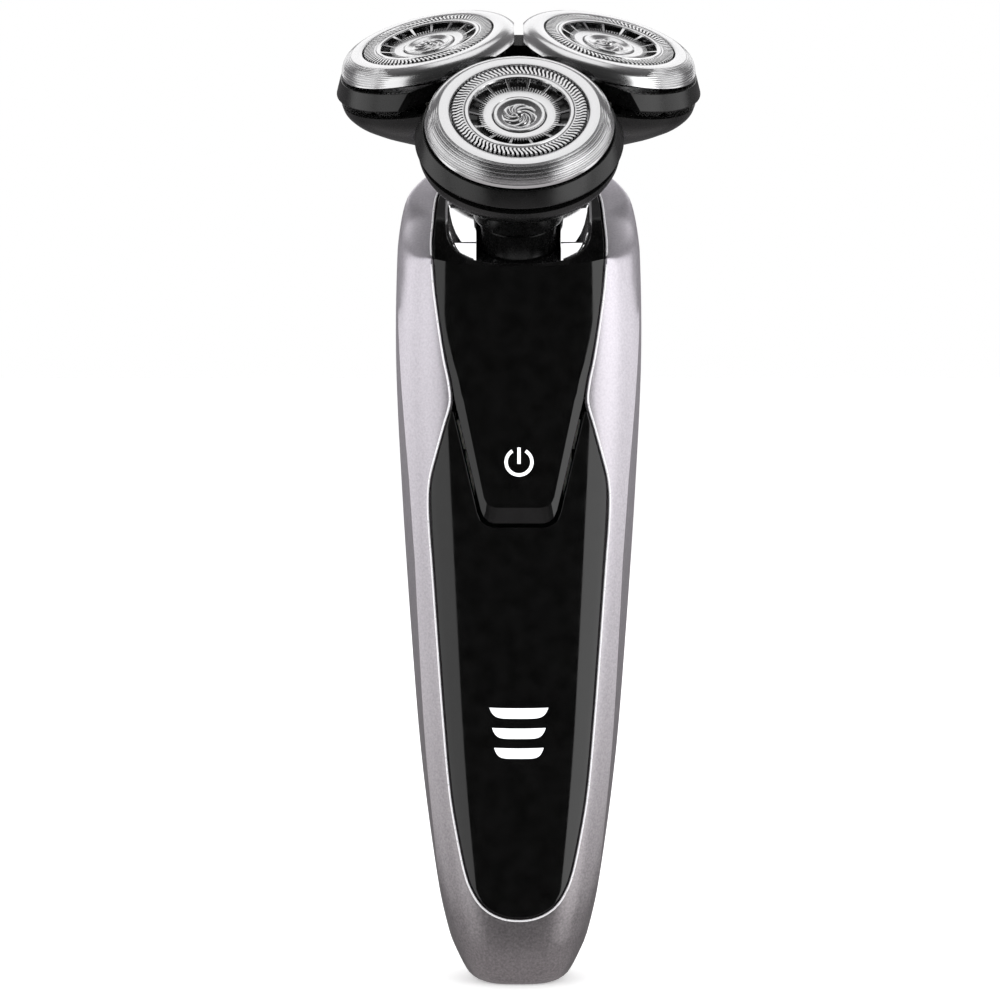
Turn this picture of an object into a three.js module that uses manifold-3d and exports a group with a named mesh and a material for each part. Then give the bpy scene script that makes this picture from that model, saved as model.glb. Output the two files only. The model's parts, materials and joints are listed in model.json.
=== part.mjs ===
// A rotary electric shaver with three floating shaving heads, modelled in millimetres, +Z up.
// The origin is the middle of the flat foot that the handle stands on, and the front faces -Y.
// The shaving unit leans forward: its own frame has z along the neck and -y towards the front.

import * as THREE from 'three';
import { mergeVertices } from 'three/addons/utils/BufferGeometryUtils.js';
import Module from 'manifold-3d';

const wasm = await Module();
wasm.setup();

// ---------------------------------------------------------------- driving dimensions

const GAP = 0.3; // clearance between pieces that touch in the real object
const WALL = 1.9; // thickness of the handle's shells
const RIGHT_ANGLE = Math.PI / 2;

// Handle sections: height, half width, depth to the front, depth to the back.
const HANDLE = [
  [0, 6.4, 7.6, 8.5],
  [1.5, 8.0, 9.0, 10],
  [4, 9.8, 10.4, 11.5],
  [8, 11.9, 11.5, 13],
  [17, 13.9, 12.5, 14.6],
  [38, 16.7, 13.7, 17],
  [60, 18.5, 14.4, 20.4],
  [85, 20.1, 14.8, 23.2],
  [106, 21.05, 14.6, 24.2],
  [122, 20.95, 14.0, 24.0],
  [134, 20.2, 13.2, 22.8],
  [146, 18.4, 12.6, 21.3],
];
const LEVELS = [0, 1.5, 4, 8, 16, 34, 54, 74, 92, 106, 122, 146];
const AROUND = 24; // facets around the handle
const FRONT_POWER = 2.7; // superellipse exponents of the section's two halves
const BACK_POWER = 2.4;

// Shaving unit: where its frame sits and how far it leans towards the front.
const HEAD_CENTRE = [0, -9.5, 157.5];
const HEAD_LEAN = THREE.MathUtils.degToRad(30);
const HANDLE_TOP = -27.6; // height of the handle's slanted top in the shaving unit's frame

// Shaving heads: their pitch radius, outward tilt and the depth of the point they float on.
const POD_PITCH = 18;
const POD_TILT = THREE.MathUtils.degToRad(14);
const GEAR_CENTRES = 16;
const PIVOT = -(POD_PITCH - GEAR_CENTRES) / Math.sin(POD_TILT);
const PIVOT_HEIGHT = PIVOT * Math.cos(POD_TILT);
const PODS = ['front', 'right', 'left'];
const GUARD_RADIUS = 11.2;
const RING_RADIUS = 15.8;
const BAND_RADIUS = 17.4;

// Gear train of the shaving unit.
const MODULE = 0.8;
const SUN_TEETH = 22;
const DRIVE_TEETH = 18;
const GEAR_TOP = -12.9;
const GEAR_HEIGHT = 2.2;
const SPINDLE_HOLE = 1.7;

// Drive inside the handle.
const MOTOR_Y = 11;
// The ball joint sits where the motor's vertical axis meets the neck's leaning axis.
const JOINT_ON_NECK = -(MOTOR_Y - HEAD_CENTRE[1]) / Math.sin(HEAD_LEAN);
const JOINT_HEIGHT = HEAD_CENTRE[2] + JOINT_ON_NECK * Math.cos(HEAD_LEAN);
const BALL_RADIUS = 1.7;

const COLOURS = {
  glossBlack: [0x060607, 0.12, 0],
  satinBlack: [0x141415, 0.35, 0],
  rubber: [0x1b1b1d, 0.85, 0],
  silverPaint: [0xa7a1aa, 0.35, 0.7],
  chrome: [0xf2f2f4, 0.05, 1],
  brushedSteel: [0xb9babb, 0.28, 1],
  darkSteel: [0x8c8d90, 0.3, 1],
  whiteLens: [0xf4f6f8, 0.3, 0],
  nylon: [0xd9d7cf, 0.55, 0],
  circuitGreen: [0x1d5a38, 0.5, 0],
  batteryWrap: [0x2f6fa8, 0.4, 0],
  brass: [0xc9a64e, 0.3, 1],
};

// ---------------------------------------------------------------- solids and placing

// Turns a closed three.js geometry into a manifold solid.
function solid(geometry) {
  const bare = geometry.clone();
  bare.deleteAttribute('normal');
  bare.deleteAttribute('uv');
  const merged = mergeVertices(bare, 1e-5);
  const mesh = new wasm.Mesh({
    numProp: 3,
    vertProperties: new Float32Array(merged.attributes.position.array),
    triVerts: new Uint32Array(merged.index.array),
  });
  return new wasm.Manifold(mesh);
}

// Turns a manifold solid back into a geometry.
function geometryOf(shape) {
  const mesh = shape.getMesh();
  const geometry = new THREE.BufferGeometry();
  geometry.setAttribute('position', new THREE.BufferAttribute(mesh.vertProperties, 3));
  geometry.setIndex(new THREE.BufferAttribute(mesh.triVerts, 1));
  geometry.computeVertexNormals();
  return geometry;
}

const shaver = new THREE.Group();

function addPart(name, shape, colour, parent = shaver) {
  const [color, roughness, metalness] = COLOURS[colour];
  const geometry = shape instanceof THREE.BufferGeometry ? shape : geometryOf(shape);
  const material = new THREE.MeshStandardMaterial({ color, roughness, metalness });
  const mesh = new THREE.Mesh(geometry, material);
  mesh.name = name;
  parent.add(mesh);
  return mesh;
}

// The shaving unit's frame, and each shaving head's frame inside it.
function headFrame() {
  const group = new THREE.Group();
  group.position.set(...HEAD_CENTRE);
  group.rotation.x = HEAD_LEAN;
  shaver.add(group);
  return group;
}

function podFrame(parent, index) {
  const turn = new THREE.Group();
  turn.rotation.z = (index * 2 * Math.PI) / 3;
  parent.add(turn);
  const tilt = new THREE.Group();
  tilt.position.y = -POD_PITCH;
  tilt.rotation.x = POD_TILT;
  turn.add(tilt);
  return tilt;
}

const HEAD = headFrame();
const POD = PODS.map((name, index) => podFrame(HEAD, index));
shaver.updateMatrixWorld(true);
const HEAD_TO_WORLD = HEAD.matrixWorld.clone();
const WORLD_TO_HEAD = HEAD_TO_WORLD.clone().invert();
const POD_TO_HEAD = POD.map((group) => WORLD_TO_HEAD.clone().multiply(group.matrixWorld));

function moved(shape, matrix) {
  return shape.transform([...matrix.elements]);
}

function inWorld(shape) {
  return moved(shape, HEAD_TO_WORLD);
}

// ---------------------------------------------------------------- basic shapes

function box(x0, x1, y0, y1, z0, z1) {
  const geometry = new THREE.BoxGeometry(x1 - x0, y1 - y0, z1 - z0);
  geometry.translate((x0 + x1) / 2, (y0 + y1) / 2, (z0 + z1) / 2);
  return solid(geometry);
}

// A solid of revolution about Z. The profile is a list of [radius, height].
function turned(profile, segments = 16) {
  const closed = profile[0][0] > 0 ? [...profile, profile[0]] : profile;
  const points = closed.map(([radius, height]) => new THREE.Vector2(radius, height));
  const geometry = new THREE.LatheGeometry(points, segments);
  geometry.rotateX(RIGHT_ANGLE);
  const shape = solid(geometry);
  return shape.volume() > 0 ? shape : solid(flipped(geometry));
}

function flipped(geometry) {
  const copy = geometry.clone();
  const index = copy.index.array;
  for (let i = 0; i < index.length; i += 3) {
    [index[i], index[i + 1]] = [index[i + 1], index[i]];
  }
  return copy;
}

// A plain disc or rod about Z, or a tube when it has an inner radius.
function disc(radius, z0, z1, inner = 0, segments = 16) {
  const profile = [[inner, z0], [radius, z0], [radius, z1], [inner, z1]];
  return turned(profile, segments);
}

function shapeThrough(points) {
  return new THREE.Shape(points.map(([x, y]) => new THREE.Vector2(x, y)));
}

// Extrudes an outline along Z between two heights.
function plate(outline, z0, z1, curveSegments = 8) {
  const settings = { depth: z1 - z0, bevelEnabled: false, curveSegments };
  const geometry = new THREE.ExtrudeGeometry(outline, settings);
  geometry.translate(0, 0, z0);
  return solid(geometry);
}

// Extrudes an outline given as [x, z] along Y between two depths.
function frontal(outline, y0, y1, curveSegments = 8) {
  const settings = { depth: y1 - y0, bevelEnabled: false, curveSegments };
  const geometry = new THREE.ExtrudeGeometry(outline, settings);
  geometry.rotateX(RIGHT_ANGLE);
  geometry.translate(0, y1, 0);
  return solid(geometry);
}

// Mirrors a right-hand list of [x, z] points, bottom to top, into a closed outline.
function mirrored(points) {
  const left = points.filter(([x]) => x > 0).map(([x, z]) => [-x, z]);
  return shapeThrough([...points, ...left.reverse()]);
}

// Value of one column of the handle's section table at a height, on a smooth curve.
function sectionAt(height, column) {
  let i = HANDLE.findIndex((row) => row[0] >= height);
  i = Math.min(Math.max(i, 1), HANDLE.length - 1);
  const row = (k) => HANDLE[Math.min(Math.max(k, 0), HANDLE.length - 1)];
  const [before, from, to, after] = [row(i - 2), row(i - 1), row(i), row(i + 1)];
  const span = to[0] - from[0];
  const slope = (a, b) => (b[0] === a[0] ? 0 : (b[column] - a[column]) / (b[0] - a[0]));
  const startSlope = before === from ? slope(from, to) : slope(before, to);
  const endSlope = after === to ? slope(from, to) : slope(from, after);
  const t = THREE.MathUtils.clamp((height - from[0]) / span, 0, 1);
  const t2 = t * t;
  const t3 = t2 * t;
  return (2 * t3 - 3 * t2 + 1) * from[column] + (t3 - 2 * t2 + t) * span * startSlope
    + (3 * t2 - 2 * t3) * to[column] + (t3 - t2) * span * endSlope;
}

// A cylinder bent into a superellipse at each level: radii(level) gives [half width, front, back].
function lofted(levels, radii, around = AROUND, powers = [FRONT_POWER, BACK_POWER]) {
  const geometry = new THREE.CylinderGeometry(1, 1, 1, around, levels.length - 1);
  geometry.rotateX(RIGHT_ANGLE);
  const place = geometry.attributes.position;
  for (let i = 0; i < place.count; i += 1) {
    const x = place.getX(i);
    const y = place.getY(i);
    const row = Math.round((place.getZ(i) + 0.5) * (levels.length - 1));
    const [width, front, back] = radii(levels[row]);
    const power = 2 / (y < 0 ? powers[0] : powers[1]);
    const depth = y < 0 ? front : back;
    const bentX = Math.sign(x) * Math.abs(x) ** power * width;
    const bentY = Math.sign(y) * Math.abs(y) ** power * depth;
    place.setXYZ(i, bentX, bentY, levels[row]);
  }
  return solid(geometry);
}

// The handle's outer form, shrunk by an inset on every side.
function handleForm(inset) {
  const levels = LEVELS.map((z) => Math.max(z, inset * 1.2));
  const kept = levels.filter((z, i) => i === 0 || z > levels[i - 1]);
  return lofted(kept, (z) => [1, 2, 3].map((column) => sectionAt(z, column) - inset));
}

// Everything below a height in the shaving unit's frame, in world coordinates.
function belowHead(height) {
  return inWorld(box(-60, 60, -80, 80, height - 260, height));
}

// ---------------------------------------------------------------- handle outlines

// Right-hand edge of the black front, bottom to top: the lower panel and the key above it.
const PANEL_EDGE = [
  [0, 11.9], [4, 12.6], [7.2, 15.2], [8.9, 18.8], [11, 29], [12.8, 46], [14.6, 73], [15.2, 82],
  [14.9, 87.2], [13.9, 91], [11.4, 99],
];
const KEY_EDGE = [
  [5.6, 79.8], [6.5, 81.0], [10.9, 100.5], [12.4, 107.3], [13.5, 114], [14.2, 120.8], [14.4, 126],
];
const NOTCH_EDGE = [[5.9, 79.2], [6.95, 80.7], [11.25, 99]];
const ARM_TOP = 150; // taller than the handle, trimmed by its slanted top

function keyOutline(grow) {
  const edge = KEY_EDGE.map(([x, z]) => [x + grow, z]);
  edge[0] = [KEY_EDGE[0][0] + grow, KEY_EDGE[0][1] - grow];
  edge.push([KEY_EDGE.at(-1)[0] + grow, ARM_TOP]);
  return mirrored(edge);
}

function panelOutline(grow) {
  const low = PANEL_EDGE[0][1] - grow;
  const edge = PANEL_EDGE.map(([x, z]) => (x === 0 ? [0, low] : [x + grow, z]));
  return mirrored(edge);
}

function notchOutline() {
  return mirrored([...NOTCH_EDGE, [NOTCH_EDGE.at(-1)[0], ARM_TOP]]);
}

// Neck recess and frame opening, seen along the neck: half width, front and back lengths.
const RECESS = { width: 12.3, front: 20.4, back: 13.6, power: 3.4 };
const OPENING = { width: 14.75, front: 30, back: 16.1, power: 3.4 };

function neckPrism({ width, front, back, power }, grow, z0, z1, narrowing = 1) {
  const radii = (z) => {
    const scale = z === z0 ? narrowing : 1;
    return [width + grow, front + grow, back + grow].map((value) => value * scale);
  };
  return lofted([z0, z1], radii, AROUND, [power, power]);
}

// ---------------------------------------------------------------- handle

const ARM_BACK = 5.7; // where the key's arms end behind the neck
const ARM_DEPTH = 1.9;
const outer = handleForm(0).intersect(belowHead(HANDLE_TOP));
const hollow = handleForm(WALL).intersect(belowHead(HANDLE_TOP - ARM_DEPTH));
const shell = outer.subtract(hollow);
const recessPrism = inWorld(neckPrism(RECESS, GAP, -60, 10));
const openingPrism = inWorld(neckPrism(OPENING, 0, HANDLE_TOP - ARM_DEPTH - 0.1, 10));
const bowlRoom = inWorld(neckPrism(RECESS, GAP, -36.5, HANDLE_TOP + 1, 0.75));

function addFrame() {
  const frontCut = frontal(panelOutline(GAP), -40, 0).add(frontal(keyOutline(GAP), -40, -2));
  const rearCut = frontal(rearOutline(GAP), 1, 60);
  const cuts = [frontCut, rearCut, openingPrism, bowlRoom];
  addPart('side_frame', cuts.reduce((rest, cut) => rest.subtract(cut), shell), 'silverPaint');
}

const REAR_EDGE = [
  [0, 10], [6, 10.6], [9.4, 14], [11, 24], [13, 45], [15, 75], [15.6, 100], [14, 116], [8, 125], [0, 127],
];
const GRIP_EDGE = [[0, 32], [6, 34], [8.4, 40], [10, 70], [10.4, 92], [8, 106], [0, 110]];
const GRIP_DEPTH = 1.0;
const RIBS = { first: 44, last: 104, pitch: 14, width: 1.6 };

function rearOutline(grow) {
  const edge = REAR_EDGE.map(([x, z], i) => {
    if (x > 0) return [x + grow, z];
    return [0, i === 0 ? z - grow : z + grow];
  });
  return mirrored(edge);
}

const SOCKET = { x: 5.4, low: 13.6, high: 21.4, mouthX: 4, mouthLow: 15, mouthHigh: 20, floor: 8.4 };
const PIN = { radius: 0.6, length: 2.6, spread: 1.7 };

function addRear() {
  const gripForm = handleForm(GRIP_DEPTH);
  const gripPrism = frontal(mirrored(GRIP_EDGE), 2, 60);
  const gripSeat = frontal(mirrored(GRIP_EDGE.map(([x, z]) => [x > 0 ? x + GAP : 0, z])), 2, 60);
  const recess = gripSeat.subtract(handleForm(GRIP_DEPTH + GAP));
  const mouth = box(-SOCKET.mouthX, SOCKET.mouthX, 0, 60, SOCKET.mouthLow, SOCKET.mouthHigh);
  const cover = shell.intersect(frontal(rearOutline(0), 1.2, 60)).subtract(recess).subtract(mouth);
  addPart('rear_cover', cover, 'satinBlack');
  const grooveFloor = handleForm(GRIP_DEPTH / 2);
  let pad = outer.intersect(gripPrism).subtract(gripForm);
  for (let z = RIBS.first; z < RIBS.last; z += RIBS.pitch) {
    pad = pad.subtract(box(-20, 20, 2, 60, z, z + RIBS.width).subtract(grooveFloor));
  }
  addPart('rear_grip', pad, 'rubber');
}

// Battery light bars: straight on top and bowed below, narrower towards the foot.
const LIGHT_BARS = [[48.45, 9.9], [45.0, 9.0], [41.6, 8.3]];
const BAR_HEIGHT = 1.8;
const BAR_PULL = 1.5; // how far the bowed side's handles stand in from the bar's ends

function barOutline([top, width], clearance) {
  const grow = clearance * 1.3; // the bowed side is not a true offset
  const half = width / 2 + grow;
  const high = top + grow;
  const low = top - BAR_HEIGHT - grow;
  const outline = new THREE.Shape();
  outline.moveTo(-half, high);
  outline.bezierCurveTo(-half + BAR_PULL, low, half - BAR_PULL, low, half, high);
  return outline;
}

function addFrontPanel() {
  const notch = frontal(notchOutline(), -40, 0);
  let panel = shell.intersect(frontal(panelOutline(0), -40, -0.5)).subtract(notch);
  LIGHT_BARS.forEach((bar) => {
    panel = panel.subtract(frontal(barOutline(bar, GAP), -40, 0));
  });
  addPart('front_panel', panel, 'glossBlack');
  const backing = box(-5.6, 5.6, -11.2, -10.2, 38.6, 49.4);
  const bars = LIGHT_BARS.map((bar) => frontal(barOutline(bar, 0), -40, -11).intersect(outer));
  const guide = bars.reduce((all, bar) => all.add(bar), backing);
  addPart('battery_light_guide', guide, 'whiteLens');
}

// The key: a V-shaped plate whose two arms run back beside the neck recess to its hinge.
const KEY_WALL = 1.5;
const SYMBOL = { z: 90.1, outer: 2.45, stroke: 0.6, gap: 0.9, barTop: 92.5, barLow: 89.8, barHalf: 0.32 };

function symbolOutlines(grow) {
  const { z, outer: big, stroke, gap, barTop, barLow, barHalf } = SYMBOL;
  const ring = new THREE.Shape();
  const open = gap - grow / big;
  ring.absarc(0, z, big + grow, RIGHT_ANGLE + open, RIGHT_ANGLE - open + 2 * Math.PI, false);
  ring.absarc(0, z, big - stroke - grow, RIGHT_ANGLE - open + 2 * Math.PI, RIGHT_ANGLE + open, true);
  const side = barHalf + grow;
  const [low, top] = [barLow - grow, barTop + grow];
  return [ring, shapeThrough([[-side, low], [side, low], [side, top], [-side, top]])];
}

function addKey() {
  const keyShell = outer.subtract(handleForm(KEY_WALL));
  const front = keyShell.intersect(frontal(keyOutline(0), -40, -3));
  const armSlab = inWorld(box(-15, 15, -30, ARM_BACK, HANDLE_TOP - ARM_DEPTH + GAP, HANDLE_TOP));
  const arms = outer.intersect(armSlab).intersect(inWorld(neckPrism(OPENING, -GAP, -40, 10)));
  let key = front.add(arms).subtract(recessPrism);
  symbolOutlines(0.15).forEach((outline) => {
    key = key.subtract(frontal(outline, -40, 0, 6));
  });
  addPart('power_key', key, 'glossBlack');
  const backing = inFrontOf(disc(3.1, 0, 0.7, 0, 12), SYMBOL.z, -12.9);
  const marks = symbolOutlines(0).map((outline) => frontal(outline, -40, -12.7, 6).intersect(outer));
  const lens = marks.reduce((all, mark) => all.add(mark), backing);
  addPart('power_symbol_lens', lens, 'whiteLens');
}

// Turns a piece made about Z so that its axis runs from front to back.
function inFrontOf(shape, z, y) {
  return shape.rotate([-90, 0, 0]).translate([0, y, z]);
}

function addCollar() {
  const bowl = neckPrism(RECESS, 0, -36, HANDLE_TOP, 0.72);
  const inner = neckPrism(RECESS, -1.2, -34.8, HANDLE_TOP + 1, 0.7);
  const flange = neckPrism(OPENING, -GAP, HANDLE_TOP - ARM_DEPTH + GAP, HANDLE_TOP)
    .subtract(neckPrism(RECESS, -0.6, -60, 10))
    .intersect(box(-30, 30, ARM_BACK + GAP + 0.2, 30, -60, 10));
  const neckHole = disc(7, -60, 10);
  const collar = bowl.add(flange).subtract(inner).subtract(neckHole);
  const trimmed = inWorld(collar).intersect(handleForm(0.4));
  addPart('chrome_collar', trimmed, 'chrome');
}

// ---------------------------------------------------------------- inside the handle

const BATTERY = { y: 3, radius: 7.1, low: 25.4, high: 75 };
const MOTOR = { radius: 9.3, low: 83.5, high: 112 };

function addChassis() {
  const room = handleForm(WALL + 0.5);
  const board = box(-9, 9, -7.4, -5.9, 13, 112);
  const lowShelf = box(-12, 12, -7.4, 9, 22.6, 24.2);
  const midShelf = box(-14, 14, -7.4, 16, 76.6, 78.6);
  const cradle = box(-9.5, 9.5, -7.4, 2, 45, 50);
  const cell = disc(BATTERY.radius + GAP, 0, 120).translate([0, BATTERY.y, 0]);
  const motorBay = box(-10.5, 10.5, -7.4, MOTOR_Y, 92, 97);
  const bore = disc(MOTOR.radius + GAP, 79, 200).translate([0, MOTOR_Y, 0]);
  const shaftHole = disc(3, 70, 90).translate([0, MOTOR_Y, 0]);
  const cellCut = cell.intersect(box(-20, 20, -20, 20, 24.4, 76.4));
  const chassis = board.add(lowShelf).add(midShelf).add(cradle).add(motorBay)
    .intersect(room).subtract(cellCut).subtract(bore).subtract(shaftHole);
  addPart('inner_chassis', chassis, 'nylon');
}

function addPower() {
  const { y, radius, low, high } = BATTERY;
  const cell = turned([[0, low], [radius, low], [radius, high - 1], [2.6, high - 1], [2.6, high], [0, high]]);
  addPart('battery_cell', cell.translate([0, y, 0]), 'batteryWrap');
  addPart('battery_tab_lower', box(-2.2, 2.2, y - 5, y + 5, low - 0.8, low - GAP), 'brass');
  addPart('battery_tab_upper', box(-2.2, 2.2, y - 5, y + 5, high + GAP, high + 0.8), 'brass');
  addPart('circuit_board', box(-7.5, 7.5, -9.4, -8.2, 36, 100), 'circuitGreen');
  const switchBody = box(-3, 3, -11, -9.7, 82, 88).add(inFrontOf(disc(1.6, 0, 1.4, 0, 12), 85, -12));
  addPart('power_switch', switchBody, 'satinBlack');
  const { x, low: bottom, high: top, mouthX, mouthLow, mouthHigh, floor } = SOCKET;
  const room = handleForm(WALL + 0.4);
  const socket = box(-x, x, floor - 1.2, 30, bottom, top).intersect(room)
    .subtract(box(-mouthX, mouthX, floor, 30, mouthLow, mouthHigh));
  addPart('charging_socket', socket, 'satinBlack');
  const pin = inFrontOf(disc(PIN.radius, 0, PIN.length, 0, 10), (mouthLow + mouthHigh) / 2, floor + GAP);
  addPart('charging_pin_left', pin.translate([-PIN.spread, 0, 0]), 'brass');
  addPart('charging_pin_right', pin.translate([PIN.spread, 0, 0]), 'brass');
}

function addMotor() {
  const { radius, low, high } = MOTOR;
  const can = turned([
    [2.2, low], [radius - 1, low], [radius, low + 1], [radius, high - 1], [radius - 1, high],
    [2.2, high], [2.2, high - 1], [radius - 1.2, high - 1], [radius - 1.2, low + 1], [2.2, low + 1],
  ]);
  const axis = [0, MOTOR_Y, 0];
  addPart('motor_can', can.translate(axis), 'darkSteel');
  addPart('motor_bearing', disc(4, high + GAP, high + 2, 1.9).translate(axis), 'brass');
  const rotor = turned([
    [0, low - 1.5], [1.5, low - 1.5], [1.5, low + 3], [6.6, low + 3], [6.6, high - 4], [1.5, high - 4],
    [1.5, high + 2.6], [0, high + 2.6],
  ]);
  const rest = high + 2.6 + GAP;
  addPart('motor_rotor', rotor.translate(axis), 'brass');
  const cup = turned([
    [0, rest], [3.4, rest], [3.4, JOINT_HEIGHT + 1.2], [2.3, JOINT_HEIGHT + 1.2], [2.1, JOINT_HEIGHT - 2.2],
    [0, JOINT_HEIGHT - 2.2],
  ]);
  addPart('drive_joint_cup', cup.translate(axis), 'nylon');
}

// The ball at the end of a shaft, from the shaft's surface to the tip: side is 1 if the shaft is above it.
function ballProfile(centre, shaft, side) {
  const points = [];
  const steps = 4;
  const start = Math.asin(shaft / BALL_RADIUS);
  for (let i = 0; i < steps; i += 1) {
    const angle = start + ((Math.PI - start) * i) / steps;
    points.push([BALL_RADIUS * Math.sin(angle), centre + side * BALL_RADIUS * Math.cos(angle)]);
  }
  points.push([0, centre - side * BALL_RADIUS]);
  return points;
}

function addNeck() {
  const tube = turned([
    [3.6, -38], [9, -38], [9, -36.9], [6.6, -36.9], [6.6, -29.9], [4.6, -29.9], [4.6, -26], [3.6, -26],
  ], 20);
  addPart('neck_tube', tube, 'satinBlack', HEAD);
  addPart('neck_bearing', disc(3.3, -37.6, -34, 2.3), 'brass', HEAD);
  addPart('neck_seal', disc(11, -39.4, -38.3, 7.4), 'rubber', HEAD);
  const spindle = turned([
    [0, -24.4], [1.2, -24.4], [1.5, -25.2], [1.5, -31], [2, -31.6], [2, -38], [1, -38.6],
    ...ballProfile(JOINT_ON_NECK, 1, 1),
  ], 16);
  addPart('drive_spindle', spindle, 'darkSteel', HEAD);
}

// ---------------------------------------------------------------- shaving unit base

// Lobe under each shaving head, in that head's frame: [radius, height].
const LOBE = [[16.5, -8.2], [16.5, -9.6], [15, -11.5], [11.8, -14], [6, -17.6]];
const LOBE_WALL = 1.2;

// The third of the unit that belongs to one shaving head, kept back from its two edges.
function sector(edge) {
  const reach = 60;
  const half = Math.PI / PODS.length;
  const width = reach * Math.tan(half);
  const tip = edge / Math.sin(half);
  const outline = shapeThrough([[0, -tip], [-width, -tip - reach], [width, -tip - reach]]);
  return plate(outline, -60, 40);
}

// Makes one thing for each shaving head, and turns a shape made for the front head to another head's place.
function forPods(make) {
  return PODS.map((name, index) => make(index));
}

function turnedTo(shape, index) {
  return shape.rotate([0, 0, (index * 360) / PODS.length]);
}

function lobe(index, inset) {
  const rim = LOBE[0][1] + (inset > 0 ? 5 : 0);
  const rows = LOBE.map(([radius, height]) => [radius - inset, height + inset]);
  rows[0][1] = rim;
  const bowl = turned([[0, rim], ...rows, [0, rows.at(-1)[1]]], 18);
  return moved(bowl, POD_TO_HEAD[index]).intersect(turnedTo(sector(-GAP), index));
}

function addBase() {
  const funnel = turned([
    [0, -11], [13, -11], [13, -16.5], [10, -20], [8.2, -25], [7.6, -29.6], [0, -29.6],
  ], 18);
  const room = turned([[0, 5], [13.6, 5], [13.6, -10.9], [11.6, -10.9], [11.6, -16], [0, -16]], 18);
  const gearRoom = disc(8.5, GEAR_TOP - GEAR_HEIGHT - 0.7, -8, 0, 12).translate([0, -GEAR_CENTRES, 0]);
  const bores = disc(3.6, -40, -10).add(disc(5, -40, -25.4));
  const lobes = forPods((index) => lobe(index, 0));
  const rooms = forPods((index) => lobe(index, LOBE_WALL));
  const gearRooms = forPods((index) => turnedTo(gearRoom, index));
  const body = lobes.reduce((all, part) => all.add(part), funnel);
  const bowl = [...rooms, ...gearRooms, room, bores].reduce((rest, part) => rest.subtract(part), body);
  addPart('head_base_shell', bowl, 'satinBlack', HEAD);
}

// A spur gear about Z with trapezoid teeth. turn is a fraction of one tooth.
function gear(teeth, z0, z1, turn) {
  const pitch = (MODULE * teeth) / 2;
  const root = pitch - 1.25 * MODULE;
  const tip = pitch + 0.8 * MODULE;
  const step = (2 * Math.PI) / teeth;
  const rootHalf = 0.27 * step;
  const tipHalf = 0.11 * step;
  const points = [];
  for (let i = 0; i < teeth; i += 1) {
    const centre = (i + turn) * step;
    const corners = [[root, -rootHalf], [tip, -tipHalf], [tip, tipHalf], [root, rootHalf]];
    corners.forEach(([r, a]) => points.push([r * Math.cos(centre + a), r * Math.sin(centre + a)]));
  }
  return plate(shapeThrough(points), z0, z1);
}

function addGears() {
  const low = GEAR_TOP - GEAR_HEIGHT;
  const shaft = turned([[0, low - 14], [3, low - 14], [3, low + 0.1], [0, low + 0.1]], 12);
  const socket = disc(2, low - 20, low - 8, 0, 12);
  const sunStep = (2 * Math.PI) / SUN_TEETH;
  const sun = gear(SUN_TEETH, low, GEAR_TOP, -RIGHT_ANGLE / sunStep).add(shaft).subtract(socket);
  addPart('sun_gear', sun, 'nylon', HEAD);
  const plateFrom = GEAR_TOP + 0.4;
  const plateTo = GEAR_TOP + 1.2;
  const arm = disc(7.6, plateFrom, plateTo).translate([0, -GEAR_CENTRES, 0]);
  const hole = disc(SPINDLE_HOLE, plateFrom - 1, plateTo + 1, 0, 12).translate([0, -GEAR_CENTRES, 0]);
  const arms = forPods((index) => turnedTo(arm, index));
  const whole = arms.reduce((all, part) => all.add(part), disc(11, plateFrom, plateTo, 0, 24));
  const holes = forPods((index) => turnedTo(hole, index));
  addPart('gear_plate', holes.reduce((rest, part) => rest.subtract(part), whole), 'nylon', HEAD);
  PODS.forEach((name, index) => {
    const angle = (index * 2 * Math.PI) / PODS.length - RIGHT_ANGLE;
    // Each wheel has a tooth space facing the sun gear where the sun gear has a tooth.
    const facing = angle + Math.PI;
    const step = (2 * Math.PI) / DRIVE_TEETH;
    const sunPhase = ((angle + RIGHT_ANGLE) / sunStep) % 1;
    const wheel = gear(DRIVE_TEETH, low, GEAR_TOP, facing / step + 0.5 + sunPhase);
    const spindle = turned([
      [0, low - 0.5], [1.3, low - 0.5], [1.3, PIVOT_HEIGHT - 2.3], [1, PIVOT_HEIGHT - 1.9],
      ...ballProfile(PIVOT_HEIGHT, 1, -1),
    ], 10);
    const x = GEAR_CENTRES * Math.cos(angle);
    const y = GEAR_CENTRES * Math.sin(angle);
    addPart(`drive_gear_${name}`, wheel.add(spindle).translate([x, y, 0]), 'nylon', HEAD);
  });
}

// ---------------------------------------------------------------- shaving unit carrier

// Lugs that hold a shaving head's gimbal, and the three blocks seen between the heads.
const SADDLE = { from: 7.1, to: 10, half: 1.6, top: -7.4, slot: 0.85 };
const BRIDGE = { half: 2.2, from: 8.2, to: 12.4, low: -10.4, top: -0.8 };

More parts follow.
